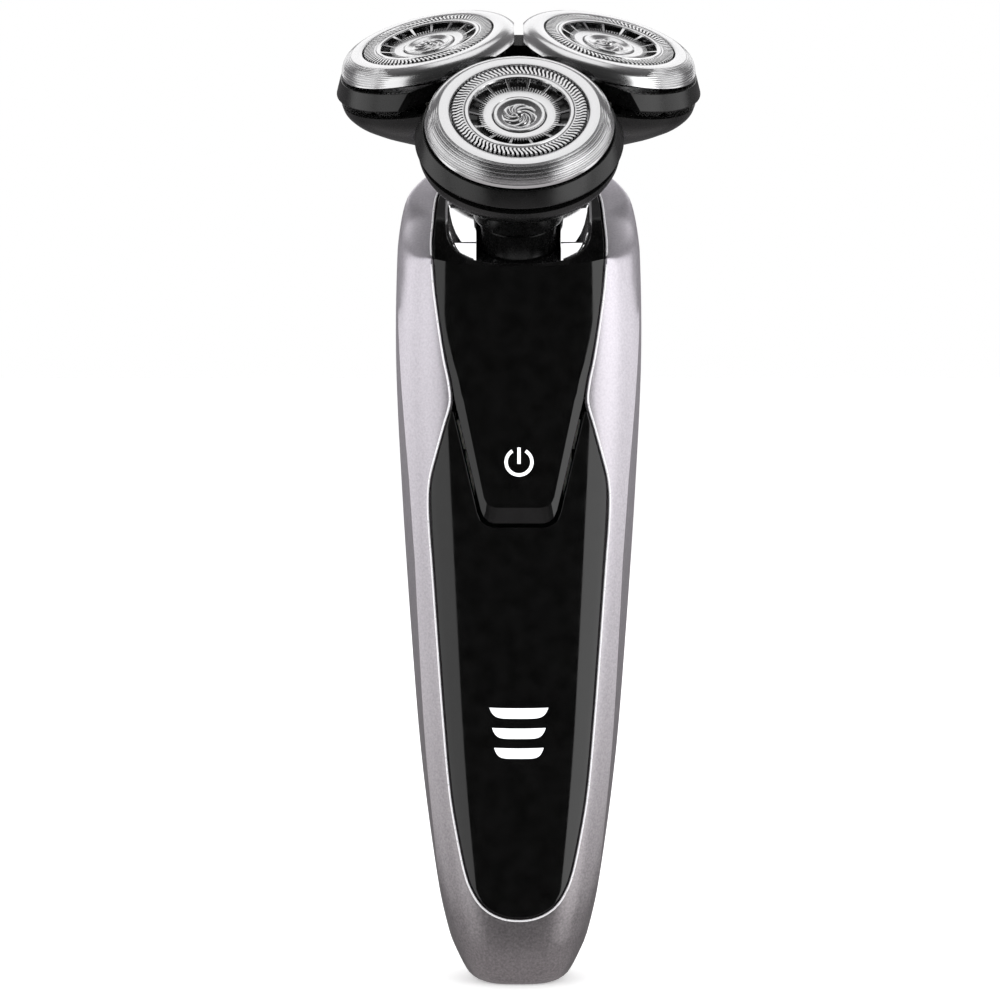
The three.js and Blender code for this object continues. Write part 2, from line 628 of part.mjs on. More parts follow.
function addCarrier() {
  const lugs = box(-SADDLE.to, SADDLE.to, -SADDLE.half, SADDLE.half, -10.7, SADDLE.top)
    .subtract(box(-SADDLE.from, SADDLE.from, -20, 20, -20, 0))
    .subtract(box(-20, 20, -SADDLE.slot, SADDLE.slot, PIVOT - SADDLE.slot, 0));
  const seat = disc(12.3, -10.7, -9.7, 9).add(lugs);
  const seats = POD_TO_HEAD.map((matrix) => moved(seat, matrix));
  const { half, from, to, low, top } = BRIDGE;
  const hub = disc(8, low, low + 1.2, 0, 18).add(turned([[0, -10], [2.6, -10], [2.2, -3], [0, -2.6]], 12));
  const bridge = box(-half, half, from, to, low, top).add(box(-half, half, 0, from + 1, low, low + 1.2));
  const openings = POD_TO_HEAD.map((matrix) => moved(disc(9, -16, -4), matrix));
  const spider = forPods((index) => turnedTo(bridge, index)).reduce((all, part) => all.add(part), hub);
  const opened = openings.reduce((rest, opening) => rest.subtract(opening), spider);
  addPart('head_carrier', seats.reduce((all, part) => all.add(part), opened), 'satinBlack', HEAD);
}

// ---------------------------------------------------------------- shaving heads

function podSector(edge, index) {
  const toPod = POD_TO_HEAD[index].clone().invert();
  return moved(turnedTo(sector(edge), index), toPod);
}

const SLOTS = 8;
const BLADES = 9;

function around(count, make) {
  const pieces = [];
  for (let i = 0; i < count; i += 1) {
    pieces.push(make(i).rotate([0, 0, (360 * i) / count]));
  }
  return pieces.reduce((all, piece) => all.add(piece));
}

function guardShape() {
  const profile = [
    [4.6, -1.2], [6.4, -1.2], [6.8, -0.3], [9.2, 0], [GUARD_RADIUS, 0], [GUARD_RADIUS, -3.5],
    [12.2, -3.5], [12.2, -4.2], [10.6, -4.2], [10.6, -0.8], [4.6, -1.8],
  ];
  const slots = around(SLOTS, () => box(9.5, 10.9, -0.25, 0.25, -2, 2));
  return turned(profile, 20).subtract(slots);
}

function cutterShape() {
  const profile = [
    [0, -3], [8.8, -2.9], [9.1, -1.2], [10.2, -1.2], [10.2, -3.4], [3.6, -3.9],
    [3.6, -9.9], [3.1, -9.9], [2.05, -8], [2.05, -6.2], [0, -6.2],
  ];
  const gaps = around(BLADES, () => box(8.6, 12, -1, 1, -2.4, 0));
  return turned(profile, 18).subtract(gaps);
}

function ringShape(index) {
  const profile = [
    [11.5, -0.3], [11.8, 0], [13.3, 0], [14.6, -0.9], [15.5, -2.1], [RING_RADIUS, -3.2],
    [12.7, -3.2], [11.5, -2.4],
  ];
  // The lower edge rises towards the middle of the unit, where the three rings come close.
  const rise = solid(new THREE.BoxGeometry(80, 80, 20)).translate([0, 0, 10]);
  const tilt = rise.rotate([2.2, 0, 0]).translate([0, -RING_RADIUS, -3.2]);
  return turned(profile, 24).intersect(podSector(0.8, index)).intersect(tilt);
}

function cupShape(index) {
  const profile = [
    [13, -3.9], [13, -3.6], [17, -3.6], [BAND_RADIUS, -4], [BAND_RADIUS, -5.4], [16.8, -6.3], [12, -6.4],
    [4.4, -6.4], [4.4, -5.5], [13, -5.5],
  ];
  const lugs = [-1, 1].map((side) => {
    const y0 = Math.min(side * 7, side * 8.4);
    const block = box(-1.6, 1.6, y0, y0 + 1.4, -9.3, -6);
    return block.subtract(inFrontOf(disc(0.8, -30, 30, 0, 8), PIVOT, 0));
  });
  return turned(profile, 24).intersect(podSector(3.2, index)).add(lugs[0]).add(lugs[1]);
}

function gimbalShape() {
  const pins = disc(0.5, 5.6, 8.2, 0, 6);
  const ring = disc(6.4, PIVOT - 0.6, PIVOT + 0.6, 4.9, 16);
  const along = [0, 90, 180, 270].map((turn) => pins.rotate([90, 0, turn]).translate([0, 0, PIVOT]));
  return along.reduce((all, pin) => all.add(pin), ring);
}

function retainerShape() {
  const spokes = around(3, () => box(5, 11, -0.9, 0.9, -5.2, -4.5));
  return disc(12, -5.2, -4.5, 10.8, 20).add(disc(5.6, -5.2, -4.5, 4.3, 12)).add(spokes);
}

function addPods() {
  const cap = turned([[0, -1.6], [4.2, -1.6], [4.3, -0.6], [3, -0.9], [1.4, -0.6], [0, -0.2]], 12);
  PODS.forEach((name, index) => {
    const group = POD[index];
    addPart(`gimbal_ring_${name}`, gimbalShape(), 'nylon', group);
    addPart(`pod_cup_${name}`, cupShape(index), 'glossBlack', group);
    addPart(`skin_ring_${name}`, ringShape(index), 'brushedSteel', group);
    addPart(`guard_${name}`, guardShape(), 'brushedSteel', group);
    addPart(`guard_cap_${name}`, cap, 'brushedSteel', group);
    addPart(`cutter_${name}`, cutterShape(), 'darkSteel', group);
    addPart(`cutter_retainer_${name}`, retainerShape(), 'satinBlack', group);
  });
}

addFrame();
addRear();
addFrontPanel();
addKey();
addCollar();
addChassis();
addPower();
addMotor();
addNeck();
addBase();
addGears();
addCarrier();
addPods();

export default shaver;
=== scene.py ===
import json
import math

import bmesh
import bpy
import numpy as np
from mathutils import Matrix, Vector


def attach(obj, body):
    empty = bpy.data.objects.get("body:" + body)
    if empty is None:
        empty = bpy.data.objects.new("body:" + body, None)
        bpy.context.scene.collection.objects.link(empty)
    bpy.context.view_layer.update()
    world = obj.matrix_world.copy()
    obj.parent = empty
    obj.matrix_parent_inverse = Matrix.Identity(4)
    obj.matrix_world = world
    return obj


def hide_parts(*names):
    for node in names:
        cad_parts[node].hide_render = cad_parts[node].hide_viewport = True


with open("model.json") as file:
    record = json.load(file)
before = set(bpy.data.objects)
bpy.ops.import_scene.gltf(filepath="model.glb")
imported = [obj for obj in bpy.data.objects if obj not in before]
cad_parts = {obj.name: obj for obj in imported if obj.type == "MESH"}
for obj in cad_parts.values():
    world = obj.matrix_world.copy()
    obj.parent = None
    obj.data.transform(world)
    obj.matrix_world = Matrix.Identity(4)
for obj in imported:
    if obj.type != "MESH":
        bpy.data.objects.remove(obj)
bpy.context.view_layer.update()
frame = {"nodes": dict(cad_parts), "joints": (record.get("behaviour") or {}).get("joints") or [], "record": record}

# The looks of a rotary shaver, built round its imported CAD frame.
# Shapes are worked out in millimetres and turned into metres when a piece is made.
MM = 0.001
JOINTS = {joint["name"]: joint for joint in frame["joints"]}
PODS = ["front", "right", "left"]
GAP = 0.3


# ---------------------------------------------------------------- looks

PAINTED_SHADE_HEIGHT = 0.115  # metres over which the painted shade at the foot fades out
RELIEF = 0.00005  # metres


class Nodes:
    """A node tree, with what the looks share. Each method returns the output of the node that it adds."""

    def __init__(self, owner):
        owner.use_nodes = True
        self.named = owner.node_tree.nodes
        self.new = owner.node_tree.nodes.new
        self.link = owner.node_tree.links.new

    def place(self, kind="Object"):
        return self.new("ShaderNodeTexCoord").outputs[kind]

    def parts(self, vector):
        """The outputs for X, Y and Z of a vector."""
        split = self.new("ShaderNodeSeparateXYZ")
        self.link(vector, split.inputs[0])
        return split.outputs

    def noise(self, vector, scale):
        noise = self.new("ShaderNodeTexNoise")
        noise.inputs["Scale"].default_value = scale
        noise.inputs["Detail"].default_value = 3
        self.link(vector, noise.inputs["Vector"])
        return noise.outputs["Fac"]

    def ring_noise(self, scale):
        """Noise that only changes with the distance from a turned piece's axis, which piece() stores."""
        distance = self.new("ShaderNodeAttribute")
        distance.attribute_name = "from_axis"
        noise = self.new("ShaderNodeTexNoise")
        noise.noise_dimensions = "1D"
        noise.inputs["Scale"].default_value = scale
        noise.inputs["Detail"].default_value = 4
        self.link(distance.outputs["Fac"], noise.inputs["W"])
        return noise.outputs["Fac"]

    def spread(self, value, low, high, start=0.3, end=0.7):
        """Maps start to end onto low to high."""
        spread = self.new("ShaderNodeMapRange")
        for socket, number in zip(("From Min", "From Max", "To Min", "To Max"), (start, end, low, high)):
            spread.inputs[socket].default_value = number
        self.link(value, spread.inputs["Value"])
        return spread.outputs["Result"]

    def mix(self, factor, first, second):
        mix = self.new("ShaderNodeMix")
        mix.data_type = "RGBA"
        for socket, colour in ((mix.inputs[6], first), (mix.inputs[7], second)):
            if isinstance(colour, tuple):
                socket.default_value = (*colour, 1)
            else:
                self.link(colour, socket)
        self.link(factor, mix.inputs[0])
        return mix.outputs[2]


def start_look(name):
    material = bpy.data.materials.new(name)
    nodes = Nodes(material)
    return material, nodes, nodes.named["Principled BSDF"].inputs


def glow(shader, colour, strength):
    shader["Emission Color"].default_value = (*colour, 1)
    shader["Emission Strength"].default_value = strength


def make_look(name, dark, light, roughness, metallic=0.0, grain=900, bump=0.1, rings=0, painted_foot_shade=None,
              emission=0.0, specular=0.5):
    """A finish whose colour, roughness and relief vary with fine noise. Its darker pair of colours, if given, is
    shade painted at the foot that fades out upwards.
    """
    material, nodes, shader = start_look(name)
    place = nodes.place()
    noise = nodes.ring_noise(rings) if rings else nodes.noise(place, grain)
    colour = nodes.mix(nodes.spread(noise, 0, 1), dark, light)
    # Painted shade: towards the foot the colour darkens, fading out upwards.
    if painted_foot_shade:
        height = nodes.spread(nodes.parts(place)["Z"], 0, 1, 0.0, PAINTED_SHADE_HEIGHT)
        colour = nodes.mix(height, nodes.mix(nodes.spread(noise, 0, 1), *painted_foot_shade), colour)
    nodes.link(colour, shader["Base Color"])
    nodes.link(nodes.spread(noise, *roughness), shader["Roughness"])
    relief = nodes.new("ShaderNodeBump")
    relief.inputs["Strength"].default_value = bump
    relief.inputs["Distance"].default_value = RELIEF
    nodes.link(noise if rings else nodes.noise(place, grain * 2.2), relief.inputs["Height"])
    nodes.link(relief.outputs["Normal"], shader["Normal"])
    shader["Metallic"].default_value = metallic
    shader["Specular IOR Level"].default_value = specular
    if emission:
        glow(shader, light, emission)
    return material


def grey(level):
    return level, level, level


LOOKS = {name: make_look(name, **settings) for name, settings in {
    "gloss_black": dict(dark=grey(0.002), light=grey(0.004), roughness=(0.05, 0.09), grain=400, bump=0.02),
    "satin_black": dict(dark=grey(0.003), light=grey(0.006), roughness=(0.24, 0.30), grain=1500, bump=0.015,
                        specular=0.35),
    "band_black": dict(dark=grey(0.002), light=grey(0.004), roughness=(0.24, 0.30), grain=600, bump=0.02),
    # A pale, partly metallic finish for the frame's edge bead: partly real polish, partly a painted highlight.
    "edge_polish_and_painted_highlight": dict(dark=(0.88, 0.87, 0.89), light=(0.94, 0.93, 0.95), roughness=(0.26, 0.34),
                          metallic=0.35, bump=0.02),
    "rubber_black": dict(dark=(0.012, 0.012, 0.013), light=(0.03, 0.03, 0.031), roughness=(0.6, 0.8),
                         grain=1200, bump=0.5),
    # The silver paint's darker pair of colours is shade painted at the handle's foot.
    "silver_paint": dict(dark=(0.55, 0.522, 0.57), light=(0.68, 0.65, 0.70), roughness=(0.30, 0.40),
                         metallic=0.82, grain=2600, bump=0.14,
                         painted_foot_shade=((0.20, 0.185, 0.19), (0.33, 0.305, 0.31))),
    "chrome": dict(dark=(0.86, 0.86, 0.87), light=(0.95, 0.95, 0.96), roughness=(0.03, 0.07), metallic=1.0,
                   grain=300, bump=0.01),
    "brushed_steel": dict(dark=(0.70, 0.70, 0.705), light=(0.77, 0.77, 0.775), roughness=(0.19, 0.24),
                          metallic=1.0, rings=12000, bump=0.008),
    "dark_steel": dict(dark=(0.30, 0.30, 0.31), light=(0.48, 0.48, 0.49), roughness=(0.22, 0.38),
                       metallic=1.0, grain=1800),
    "white_lens": dict(dark=(0.88, 0.90, 0.92), light=(0.97, 0.98, 1.0), roughness=(0.25, 0.35), grain=700,
                       bump=0.03, emission=0.35),
    "nylon": dict(dark=(0.68, 0.67, 0.62), light=(0.84, 0.83, 0.79), roughness=(0.45, 0.6), bump=0.2),
    # The circuit board's green is darkened nearly to black: painted shade, since it shows only in the gap round
    # the key.
    "circuit_green": dict(dark=(0.001, 0.009, 0.004), light=(0.002, 0.016, 0.008), roughness=(0.3, 0.45),
                          grain=350),
    "battery_wrap": dict(dark=(0.05, 0.2, 0.42), light=(0.09, 0.29, 0.55), roughness=(0.25, 0.35),
                         grain=500, bump=0.05),
    "brass": dict(dark=(0.62, 0.45, 0.18), light=(0.82, 0.64, 0.32), roughness=(0.2, 0.32), metallic=1.0,
                  grain=1600, bump=0.08),
}.items()}


# ---------------------------------------------------------------- meshes
# A patch is (points, faces): an array of points and lists of point numbers, anticlockwise from outside.

def grid(rows, keep=None):
    """Quads through rows of points. keep(i, j) leaves out a quad when it is false."""
    rows = np.asarray(rows, float)
    height, width = rows.shape[:2]
    faces = []
    for i in range(height - 1):
        for j in range(width - 1):
            if keep is None or keep(i, j):
                a = i * width + j
                faces.append([a, a + 1, a + width + 1, a + width])
    return rows.reshape(-1, 3), faces


def joined(*patches):
    points, faces, count = [], [], 0
    for some_points, some_faces in patches:
        points.append(some_points)
        faces += [[v + count for v in face] for face in some_faces]
        count += len(some_points)
    return np.concatenate(points), faces


def flipped(patch):
    return patch[0], [face[::-1] for face in patch[1]]


def mirrored(patch):
    return flipped((patch[0] * (-1, 1, 1), patch[1]))


def with_mirror(patch):
    return joined(patch, mirrored(patch))


def welded(patch, reach=0.004):
    """Merges points that fall together and drops what that flattens."""
    points, faces = patch
    _, first, back = np.unique(np.round(points / reach).astype(int), axis=0, return_index=True,
                               return_inverse=True)
    back = back.ravel()
    kept = []
    for face in faces:
        small = [back[v] for v in face]
        small = [v for k, v in enumerate(small) if v != small[k - 1]]
        if len(set(small)) == len(small) > 2:
            kept.append(small)
    used = sorted({v for face in kept for v in face})
    number = {v: k for k, v in enumerate(used)}
    return points[first[used]], [[number[v] for v in face] for face in kept]


def point_normals(points, faces):
    normals = np.zeros_like(points)
    for face in faces:
        a, b, c, d = points[[face[0], face[1], face[2], face[-1]]]
        normal = np.cross(c - a, d - b) if len(face) > 3 else np.cross(b - a, c - a)
        normals[face] += normal
    return normals / np.maximum(np.linalg.norm(normals, axis=1), 1e-12)[:, None]


def unit(vector):
    return vector / max(np.linalg.norm(vector), 1e-12)


def shell(patch, depth, radius, steps):
    """Gives a patch a thickness, and a rounded rim that stands out from its edge by radius."""
    points, faces = patch
    normals = point_normals(points, faces)
    edges = {(face[k - 1], face[k]) for face in faces for k in range(len(face))}
    following = {a: b for a, b in edges if (b, a) not in edges}
    before = {b: a for a, b in following.items()}
    rim = sorted(following)
    out = {}
    for v in rim:
        first = np.cross(unit(points[v] - points[before[v]]), normals[v])
        second = np.cross(unit(points[following[v]] - points[v]), normals[v])
        out[v] = (first + second) / max(1 + first @ second, 0.6)
    number = {v: k for k, v in enumerate(rim)}
    rings = []
    for k in range(steps + 1):
        angle = math.pi / 2 * k / steps
        rings.append([points[v] + radius * (math.sin(angle) * out[v] - (1 - math.cos(angle)) * normals[v])
                      for v in rim])
    rings.append([points[v] + radius * out[v] - depth * normals[v] for v in rim])
    count = len(points)
    inner = points - depth * normals
    all_points = np.concatenate([points, inner, *[np.array(ring) for ring in rings[1:]]])
    all_faces = [list(face) for face in faces] + [[v + count for v in face[::-1]] for face in faces]

    def at(ring, v):
        return v if ring == 0 else 2 * count + (ring - 1) * len(rim) + number[v]

    for a, b in following.items():
        for ring in range(len(rings) - 1):
            all_faces.append([at(ring, b), at(ring, a), at(ring + 1, a), at(ring + 1, b)])
        last = len(rings) - 1
        all_faces.append([at(last, b), at(last, a), a + count, b + count])
    return all_points, all_faces


def between(start, pull, end, t):
    """A point of the curve from start to end that bends towards pull."""
    return (1 - t) ** 2 * start + 2 * t * (1 - t) * pull + t * t * end


def rounded(profile, radius, steps=3):
    """A closed profile with its corners rounded. Points on the axis stay sharp."""
    made = []
    for k, corner in enumerate(profile):
        if corner[0] == 0:
            made.append(corner)
            continue
        corner = np.array(corner, float)
        ends = []
        for other in (profile[k - 1], profile[(k + 1) % len(profile)]):
            away = np.array(other, float) - corner
            ends.append(corner + unit(away) * min(radius, 0.45 * np.linalg.norm(away)))
        for t in np.linspace(0, 1, steps + 1):
            made.append(tuple(between(ends[0], corner, ends[1], t)))
    return made


def turned(profile, steps, shift=None):
    """A closed solid of revolution about Z. shift(k, angle) moves a profile point at an angle."""
    on_axis = profile[0][0] == 0
    loop = list(profile) if on_axis else [*profile, profile[0]]
    angles = np.linspace(0, 2 * math.pi, steps + 1)
    rows = []
    for k, (radius, height) in enumerate(loop):
        row = []
        for angle in angles:
            dr, dz = shift(k % len(profile), angle) if shift else (0, 0)
            row.append(((radius + dr) * math.cos(angle), (radius + dr) * math.sin(angle), height + dz))
        rows.append(row)
    return outward(welded(grid(rows)))


def outward(patch):
    points, faces = patch
    volume = 0
    for face in faces:
        for k in range(1, len(face) - 1):
            a, b, c = points[face[0]], points[face[k]], points[face[k + 1]]
            volume += a @ np.cross(b, c)
    return patch if volume > 0 else flipped(patch)


def upright(patch):
    """Turns a patch over if it faces down."""
    return patch if point_normals(*patch)[:, 2].sum() > 0 else flipped(patch)


def to_bmesh(patch):
    made = bmesh.new()
    corners = [made.verts.new(p) for p in patch[0]]
    for face in patch[1]:
        made.faces.new([corners[v] for v in face])
    return made


def from_bmesh(made):
    made.verts.ensure_lookup_table()
    made.verts.index_update()
    points = np.array([v.co[:] for v in made.verts])
    faces = [[v.index for v in face.verts] for face in made.faces]
    made.free()
    return points, faces


def clipped(patch, planes):
    """Cuts away what lies in front of each (point, direction) plane and closes the cut."""
    made = to_bmesh(patch)
    for point, direction in planes:
        everything = [*made.verts, *made.edges, *made.faces]
        bmesh.ops.bisect_plane(made, geom=everything, dist=1e-5, plane_co=point, plane_no=direction,
                               clear_outer=True)
        open_edges = [edge for edge in made.edges if edge.is_boundary]
        bmesh.ops.holes_fill(made, edges=open_edges, sides=0)
    return from_bmesh(made)


def block(low, high, bevel=0.15):
    made = bmesh.new()
    bmesh.ops.create_cube(made, size=1)
    for v in made.verts:
        v.co = [low[k] if v.co[k] < 0 else high[k] for k in range(3)]
    bmesh.ops.bevel(made, geom=made.edges[:], offset=bevel, segments=3, profile=0.5, affect="EDGES")
    return from_bmesh(made)


def moved(patch, matrix):
    matrix = np.array(matrix)
    return patch[0] @ matrix[:3, :3].T + matrix[:3, 3], patch[1]


def put_mesh(name, patch, scale=1.0):
    mesh = bpy.data.meshes.new(name)
    mesh.from_pydata((patch[0] * scale).tolist(), [], patch[1])
    mesh.update()
    made = bpy.data.objects.new(name, mesh)
    bpy.context.scene.collection.objects.link(made)
    return made


def combined(patch, others, operation):
    """One solid joined with others, or with them cut away."""
    base = put_mesh("combining", patch)
    tools = [put_mesh("tool", other) for other in others]
    for tool in tools:
        step = base.modifiers.new("step", "BOOLEAN")
        step.operation = operation
        step.solver = "MANIFOLD"
        step.object = tool
    bpy.context.view_layer.update()
    shown = base.evaluated_get(bpy.context.evaluated_depsgraph_get())
    mesh = bpy.data.meshes.new_from_object(shown)
    made = bmesh.new()
    made.from_mesh(mesh)
    for old in [base, *tools]:
        bpy.data.objects.remove(old)
    bpy.data.meshes.remove(mesh)
    return from_bmesh(made)


def piece(name, patch, look, body, nodes=(), place=None, sharp=38):
    world_patch = patch if place is None else moved(patch, in_mm(place))
    made = put_mesh(name, world_patch, MM)
    mesh = made.data
    mesh.polygons.foreach_set("use_smooth", [True] * len(mesh.polygons))
    mesh.set_sharp_from_angle(angle=math.radians(sharp))
    mesh.materials.append(LOOKS[look])
    if place is not None:
        from_axis = mesh.attributes.new("from_axis", "FLOAT", "POINT")
        from_axis.data.foreach_set("value", np.linalg.norm(patch[0][:, :2], axis=1) * MM)
    if nodes:
        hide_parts(*nodes)
    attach(made, body)
    return made


# ---------------------------------------------------------------- frames of the shaving unit

def axes_matrix(origin, x_axis, y_axis, z_axis):
    columns = [Vector(axis).normalized().to_4d() for axis in (x_axis, y_axis, z_axis)]
    for column in columns:
        column.w = 0
    return Matrix([*columns, Vector(origin).to_4d()]).transposed()


RIM_OVER_PIVOT = 8.267  # from the point that a shaving head floats on up to its rim


def pod_matrix(name):
    """The place of a shaving head in metres: its rim's centre, with -y away from the unit's middle."""
    normal = Vector(JOINTS[f"cutter_{name}_spin"]["axis"])
    across = Vector(JOINTS[f"pod_{name}_tilt"]["axis"])
    inwards = Vector(JOINTS[f"pod_{name}_rock"]["axis"])
    centre = Vector(JOINTS[f"cutter_{name}_spin"]["pos_m"]) + normal * RIM_OVER_PIVOT * MM
    return axes_matrix(centre, across, inwards, normal)


POD = {name: pod_matrix(name) for name in PODS}
NECK_AXIS = Vector(JOINTS["unit_release"]["axis"]).normalized()
HEAD_CENTRE = sum((POD[name].translation for name in PODS), Vector()) / 3
HEAD = axes_matrix(HEAD_CENTRE, (1, 0, 0), NECK_AXIS.cross(Vector((1, 0, 0))), NECK_AXIS)


def in_mm(matrix):
    made = matrix.copy()
    made.translation = matrix.translation / MM
    return made


def sector_planes(index, edge, place):
    """The two planes that bound one head's third of the unit, in the frame of place, kept back by edge."""
    turn = in_mm(HEAD) @ Matrix.Rotation(index * 2 * math.pi / 3, 4, "Z")
    to_place = in_mm(place).inverted() @ turn
    planes = []
    for side in (-1, 1):
        inside = Vector((side * math.cos(math.pi / 3), -math.sin(math.pi / 3), 0))
        planes.append((to_place @ (inside * edge), to_place.to_3x3() @ -inside))
    return planes


# ---------------------------------------------------------------- handle form

# Handle sections: height, half width, depth to the front, depth to the back.
HANDLE = np.array([
    (0, 6.5, 7.5, 8.4), (0.5, 7.7, 8.5, 9.4), (1.5, 8.8, 9.35, 10.4), (4, 10.2, 10.5, 11.7),
    (8, 11.9, 11.5, 13), (17, 13.9, 12.5, 14.6), (38, 16.7, 13.7, 17), (60, 18.5, 14.4, 20.4),
    (85, 20.1, 14.8, 23.2), (106, 21.05, 14.6, 24.2), (122, 20.95, 14.0, 24.0), (134, 20.2, 13.2, 22.8),
    (146, 18.4, 12.6, 21.3),
])
FRONT_POWER = 2.7
BACK_POWER = 2.4
# Where the crease down each side of the frame lies, as a share of the half width.
CREASE = np.array([(0, 0.96), (14.5, 0.945), (28, 0.92), (73, 0.892), (87, 0.904), (120, 0.963),
                   (140, 0.98)])
CREASE_HEIGHT = 0.5
CREASE_REACH = (2.6, 1.3)  # how far it spreads to the front and to the back
HANDLE_TOP = -27.6  # the handle's slanted top, in the shaving unit's frame


def smooth_between(start, end, leave, arrive, t):
    """A point of the smooth curve from start to end with these directions at its ends."""
    return ((2 * t ** 3 - 3 * t ** 2 + 1) * start + (t ** 3 - 2 * t ** 2 + t) * leave
            + (3 * t ** 2 - 2 * t ** 3) * end + (t ** 3 - t ** 2) * arrive)


def section(height):
    """Half width and depths at a height, on a smooth curve through the table."""
    i = int(np.clip(np.searchsorted(HANDLE[:, 0], height), 1, len(HANDLE) - 1))
    start, end = HANDLE[i - 1], HANDLE[i]
    before, after = HANDLE[max(i - 2, 0)], HANDLE[min(i + 1, len(HANDLE) - 1)]
    span = end[0] - start[0]
    leave = (end - before) / (end[0] - before[0]) * span
    arrive = (after - start) / (after[0] - start[0]) * span
    t = float(np.clip((height - start[0]) / span, 0, 1))
    return smooth_between(start, end, leave, arrive, t)[1:]


def angle_at(x, height, back=False):
    """The angle round the handle, from the front's middle, of the surface point with this x."""
    width, front, rear = section(height)
    power, depth = (BACK_POWER, rear) if back else (FRONT_POWER, front)
    share = min(abs(x) / width, 1)
    y = depth * (1 - share ** power) ** (1 / power)
    angle = math.atan2(abs(x), y)
    angle = math.pi - angle if back else angle
    return angle if x >= 0 else -angle


def smoothstep(value, start, end):
    t = min(max((value - start) / (end - start), 0), 1)
    return t * t * (3 - 2 * t)


def crease_angle(height):
    share = np.interp(height, CREASE[:, 0], CREASE[:, 1])
    return angle_at(share * section(height)[0], height)


def oval_point(width, depth, power, angle):
    """A point of a rounded oval at an angle from the front."""
    s, c = math.sin(angle), -math.cos(angle)
    radius = (abs(s / width) ** power + abs(c / depth) ** power) ** (-1 / power)
    return radius * s, radius * c


def surface(angle, height, lift=0.0, crease=True):
    """A point of the handle's outside."""
    width, front, rear = section(height)
    facing = math.cos(angle) > 0
    power, depth = (FRONT_POWER, front) if facing else (BACK_POWER, rear)
    x, y = oval_point(width, depth, power, angle)
    slope_x = math.copysign(abs(x / width) ** (power - 1) / width, x)
    slope_y = math.copysign(abs(y / depth) ** (power - 1) / depth, y)
    steep = math.hypot(slope_x, slope_y)
    if crease and facing:
        fade = smoothstep(height, 6, 22) * (1 - smoothstep(height, 112, 124))
        off = (abs(angle) - crease_angle(height)) * math.hypot(x, y)
        lift += CREASE_HEIGHT * fade * math.exp(-abs(off) / CREASE_REACH[int(off > 0)])
    return np.array([x + lift * slope_x / steep, y + lift * slope_y / steep, height])


def on_front(x, height, lift=0.0):
    return surface(angle_at(x, height), height, lift, crease=False)


PLANE_UP = np.array(NECK_AXIS)
PLANE_POINT = np.array(HEAD_CENTRE) / MM + HANDLE_TOP * PLANE_UP
HEAD_MM = np.array(in_mm(HEAD))


def plane_height(y):
    """Height of the slanted top over a point at this depth."""
    return PLANE_POINT[2] - (y - PLANE_POINT[1]) * PLANE_UP[1] / PLANE_UP[2]


def climb(make, start):
    """The height at which the column make(height) meets the slanted top."""
    height = start
    for _ in range(40):
        height = plane_height(make(height)[1])
    return height


def from_head(x, y):
    """The point of the slanted top at x and y in the shaving unit's frame."""
    return HEAD_MM[:3, :3] @ np.array([x, y, HANDLE_TOP]) + HEAD_MM[:3, 3]


def to_head(point):
    return HEAD_MM[:3, :3].T @ (point - HEAD_MM[:3, 3])


def beyond(end, neighbour):
    """The next point past the end of a curve, mirrored where the curve ends on the middle plane."""
    return neighbour * (-1, 1) if end[0] == 0 else 2 * end - neighbour


def spline(points, spacing):
    """Evenly spaced points on a smooth curve through the given ones."""
    points = np.array(points, float)
    padded = np.concatenate([[beyond(points[0], points[1])], points, [beyond(points[-1], points[-2])]])
    dense = []
    for k in range(1, len(padded) - 2):
        a, b, c, d = padded[k - 1:k + 3]
        before, span, after = (np.linalg.norm(step) for step in (b - a, c - b, d - c))
        leave = (c - a) / max(span + before, 1e-9) * span
        arrive = (d - b) / max(after + span, 1e-9) * span
        for t in np.linspace(0, 1, 24, endpoint=False):
            dense.append(smooth_between(b, c, leave, arrive, t))
    dense.append(points[-1])
    return spaced(np.array(dense), spacing)


def spaced(curve, spacing):
    lengths = np.concatenate([[0], np.cumsum(np.linalg.norm(np.diff(curve, axis=0), axis=1))])
    marks = np.linspace(0, lengths[-1], max(int(lengths[-1] / spacing), 2) + 1)
    return np.stack([np.interp(marks, lengths, curve[:, k]) for k in range(curve.shape[1])], axis=1)


def offset(curve, distance):
    """A flat curve moved to its right-hand side."""
    along = np.gradient(curve, axis=0)
    along /= np.linalg.norm(along, axis=1)[:, None]
    made = curve + distance * np.stack([along[:, 1], -along[:, 0]], axis=1)
    made[curve[:, 0] < 1e-9, 0] = 0
    return made


# Edge of the frame round the black front: right-hand x and height, from the bottom up to the slanted top.
FRONT_EDGE = [
    (0, 11.9), (2.2, 12.1), (4.2, 12.8), (5.8, 13.85), (7.2, 15.4), (8.8, 18.8), (10.3, 25.5), (11.6, 33.4),
    (12.75, 46.1), (13.75, 59.8), (14.7, 73.4), (15.15, 79.5), (15.27, 84.0), (14.95, 87.4), (14.1, 90.8),
    (12.6, 96.2), (11.5, 100.2), (11.75, 103.4), (12.56, 107.3), (13.6, 114), (14.43, 120.8), (14.75, 127),
]
